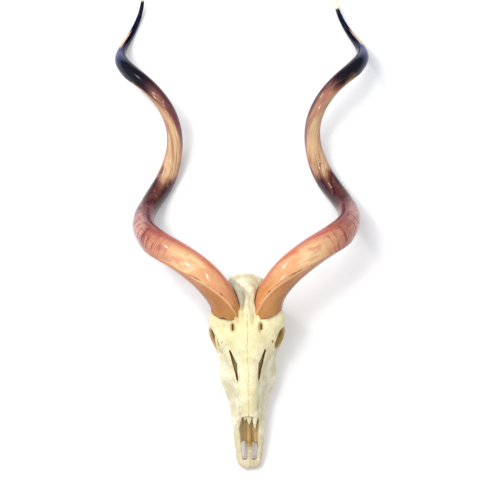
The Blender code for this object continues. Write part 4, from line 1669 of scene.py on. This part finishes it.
@dataclass
class Studio:
    """A pale floor, soft lights and the camera of the photo."""

    floor_size: float = 12.0
    floor_gap: float = 2e-4
    floor_colour: Colour = (246, 246, 246)
    floor_cloud: Colour = (243, 243, 243)
    room_colour: Colour = (238, 240, 244)
    room_strength: float = 0.66
    lit_spot: Triple = (0.0, -60.0, -20.0)
    lights: tuple = (("key light", (-0.50, 0.52, 1.0), 2.4, 1.5, 36.0, False),
                     ("fill light", (0.12, -0.02, 1.0), 2.8, 0.8, 16.0, False),
                     ("left spark", (-0.42, 0.30, 1.0), 2.4, 0.30, 8.0, True),
                     ("right spark", (0.34, 0.42, 1.0), 2.4, 0.20, 4.0, True),
                     ("high spark", (-1.3, 1.5, 1.0), 2.4, 0.30, 9.0, True))
    roll: float = math.radians(1.2)
    off_middle: float = 10.9
    distance: float = 2200.8
    lens: float = 78.6
    sensor: float = 36.0

    def floor(self) -> None:
        """A large plane just under what it carries."""
        half, low = self.floor_size / 2, -self.floor_gap
        mesh = bpy.data.meshes.new("floor")
        mesh.from_pydata([(-half, -half, low), (half, -half, low), (half, half, low),
                          (-half, half, low)], [], [[0, 1, 2, 3]])
        surface, wiring = new_material("pale floor")
        shader = surface.node_tree.nodes["Principled BSDF"]
        place = wiring.add("ShaderNodeTexCoord").outputs["Object"]
        cloud = wiring.remap(wiring.noise(place, 3.0), 0.3, 0.7)
        colour = wiring.mix(cloud, linear(self.floor_colour), linear(self.floor_cloud))
        surface.node_tree.links.new(colour, shader.inputs["Base Color"])
        shader.inputs["Roughness"].default_value = 0.9
        shader.inputs["Specular IOR Level"].default_value = 0.1
        mesh.materials.append(surface)
        new_object("floor", mesh)

    def aim(self, name: str, data: bpy.types.ID, spot: Array,
            axes: Sequence[Array]) -> bpy.types.Object:
        """Put a light or a camera at its spot.

        Args:
            name: The object's name.
            data: The light or the camera.
            spot: Its place in metres.
            axes: Where its right side, its top and its back point.

        Returns:
            The object.
        """
        holder = new_object(name, data)
        holder.location = spot
        holder.rotation_mode = "QUATERNION"
        holder.rotation_quaternion = Matrix(np.stack(axes, axis=1).tolist()).to_quaternion()
        return holder

    def light(self, name: str, direction: Triple, away: float, size: float, power: float,
              mirrored: bool) -> None:
        """Hang a square soft light that looks at the middle of the skull.

        Args:
            name: The light's name.
            direction: From the face towards the light, in the face frame.
            away: Metres from the face.
            size: The light's width in metres.
            power: Its power in watts.
            mirrored: Whether the polished horns mirror it.
        """
        lamp = bpy.data.lights.new(name, "AREA")
        lamp.size, lamp.energy = size, power
        towards = LIE.turned(np.array(direction, float))
        towards /= np.linalg.norm(towards)
        side = np.cross((0.0, 1.0, 0.0), towards)
        side /= np.linalg.norm(side)
        spot = LIE.row(LIE.lying(np.array(self.lit_spot))) + towards * away
        holder = self.aim(name, lamp, spot, (side, np.cross(towards, side), towards))
        holder.visible_glossy = mirrored

    def camera(self) -> None:
        """Set the camera where the photo's was: straight out from the face, turned by its roll."""
        turn, drop = math.cos(self.roll), math.sin(self.roll)
        axes = [LIE.turned(np.array(v)) for v in
                ((turn, -drop, 0.0), (drop, turn, 0.0), (0.0, 0.0, 1.0))]
        spot = np.array([-self.off_middle * turn, self.off_middle * drop, self.distance])
        eye = bpy.data.cameras.new("camera")
        eye.lens, eye.sensor_width, eye.sensor_fit = self.lens, self.sensor, "HORIZONTAL"
        eye.clip_start, eye.clip_end = 0.05, 50.0
        bpy.context.scene.camera = self.aim("camera", eye, LIE.row(LIE.lying(spot)), axes)

    def build(self) -> None:
        """Make the floor, the lights, the pale surroundings and the camera."""
        self.floor()
        for lamp in self.lights:
            self.light(*lamp)
        world = bpy.data.worlds.new("pale room")
        world.use_nodes = True
        background = world.node_tree.nodes["Background"]
        background.inputs["Color"].default_value = linear(self.room_colour)
        background.inputs["Strength"].default_value = self.room_strength
        world.cycles_visibility.glossy = False
        bpy.context.scene.world = world
        bpy.context.scene.view_settings.view_transform = "Standard"
        self.camera()
        LOG.info("made the studio")


def main() -> None:
    """Load the frame, build the horns, the skull, the teeth and the studio."""
    logging.basicConfig(level=logging.INFO, format="%(message)s")
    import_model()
    effects = SharedEffects()
    right = SpiralHorn(name="horn_right", side=1, base=(47.3, -165.0, -29.0), splay=11.1, length=688.3,
                       quickening=0.205, start=-99.6, turn=435.1, winding=256.8,
                       reach=(100.5, -135.9, 80.9), flare=(-19.7, -40.1),
                       rim_move=(-1.6, 15.5), rim_rise=0.24, ivory_from=0.99, inner_stain=0.3, seed=3,
                       chips=((20.0, 7.0, 1.3), (300.0, 12.0, 1.2), (335.0, 7.0, 1.4), (150, 15, 1.2)))
    left = SpiralHorn(name="horn_left", side=-1, base=(49.8, -169.6, -28.4), splay=11.5, length=665.4,
                      quickening=0.281, start=-94.9, turn=397.6, winding=290.8,
                      reach=(98.3, -126.0, 69.9), flare=(-30.2, -31.4),
                      rim_move=(-4.2, 18.1), rim_rise=0.13, ivory_from=1.004, inner_stain=0.9, seed=8,
                      chips=((60.0, 14.0, 1.5), (95.0, 8.0, 1.4), (340.0, 8.0, 1.2), (210, 12, 1.4)))
    for horn in (right, left):
        horn.build(HornFinish(), effects)
    SkullBone(horns=[right, left]).build(BoneFinish(), effects)
    ToothRows().build(ToothFinish(), effects)
    Studio().build()
    bpy.context.view_layer.update()


if __name__ == "__main__":
    main()
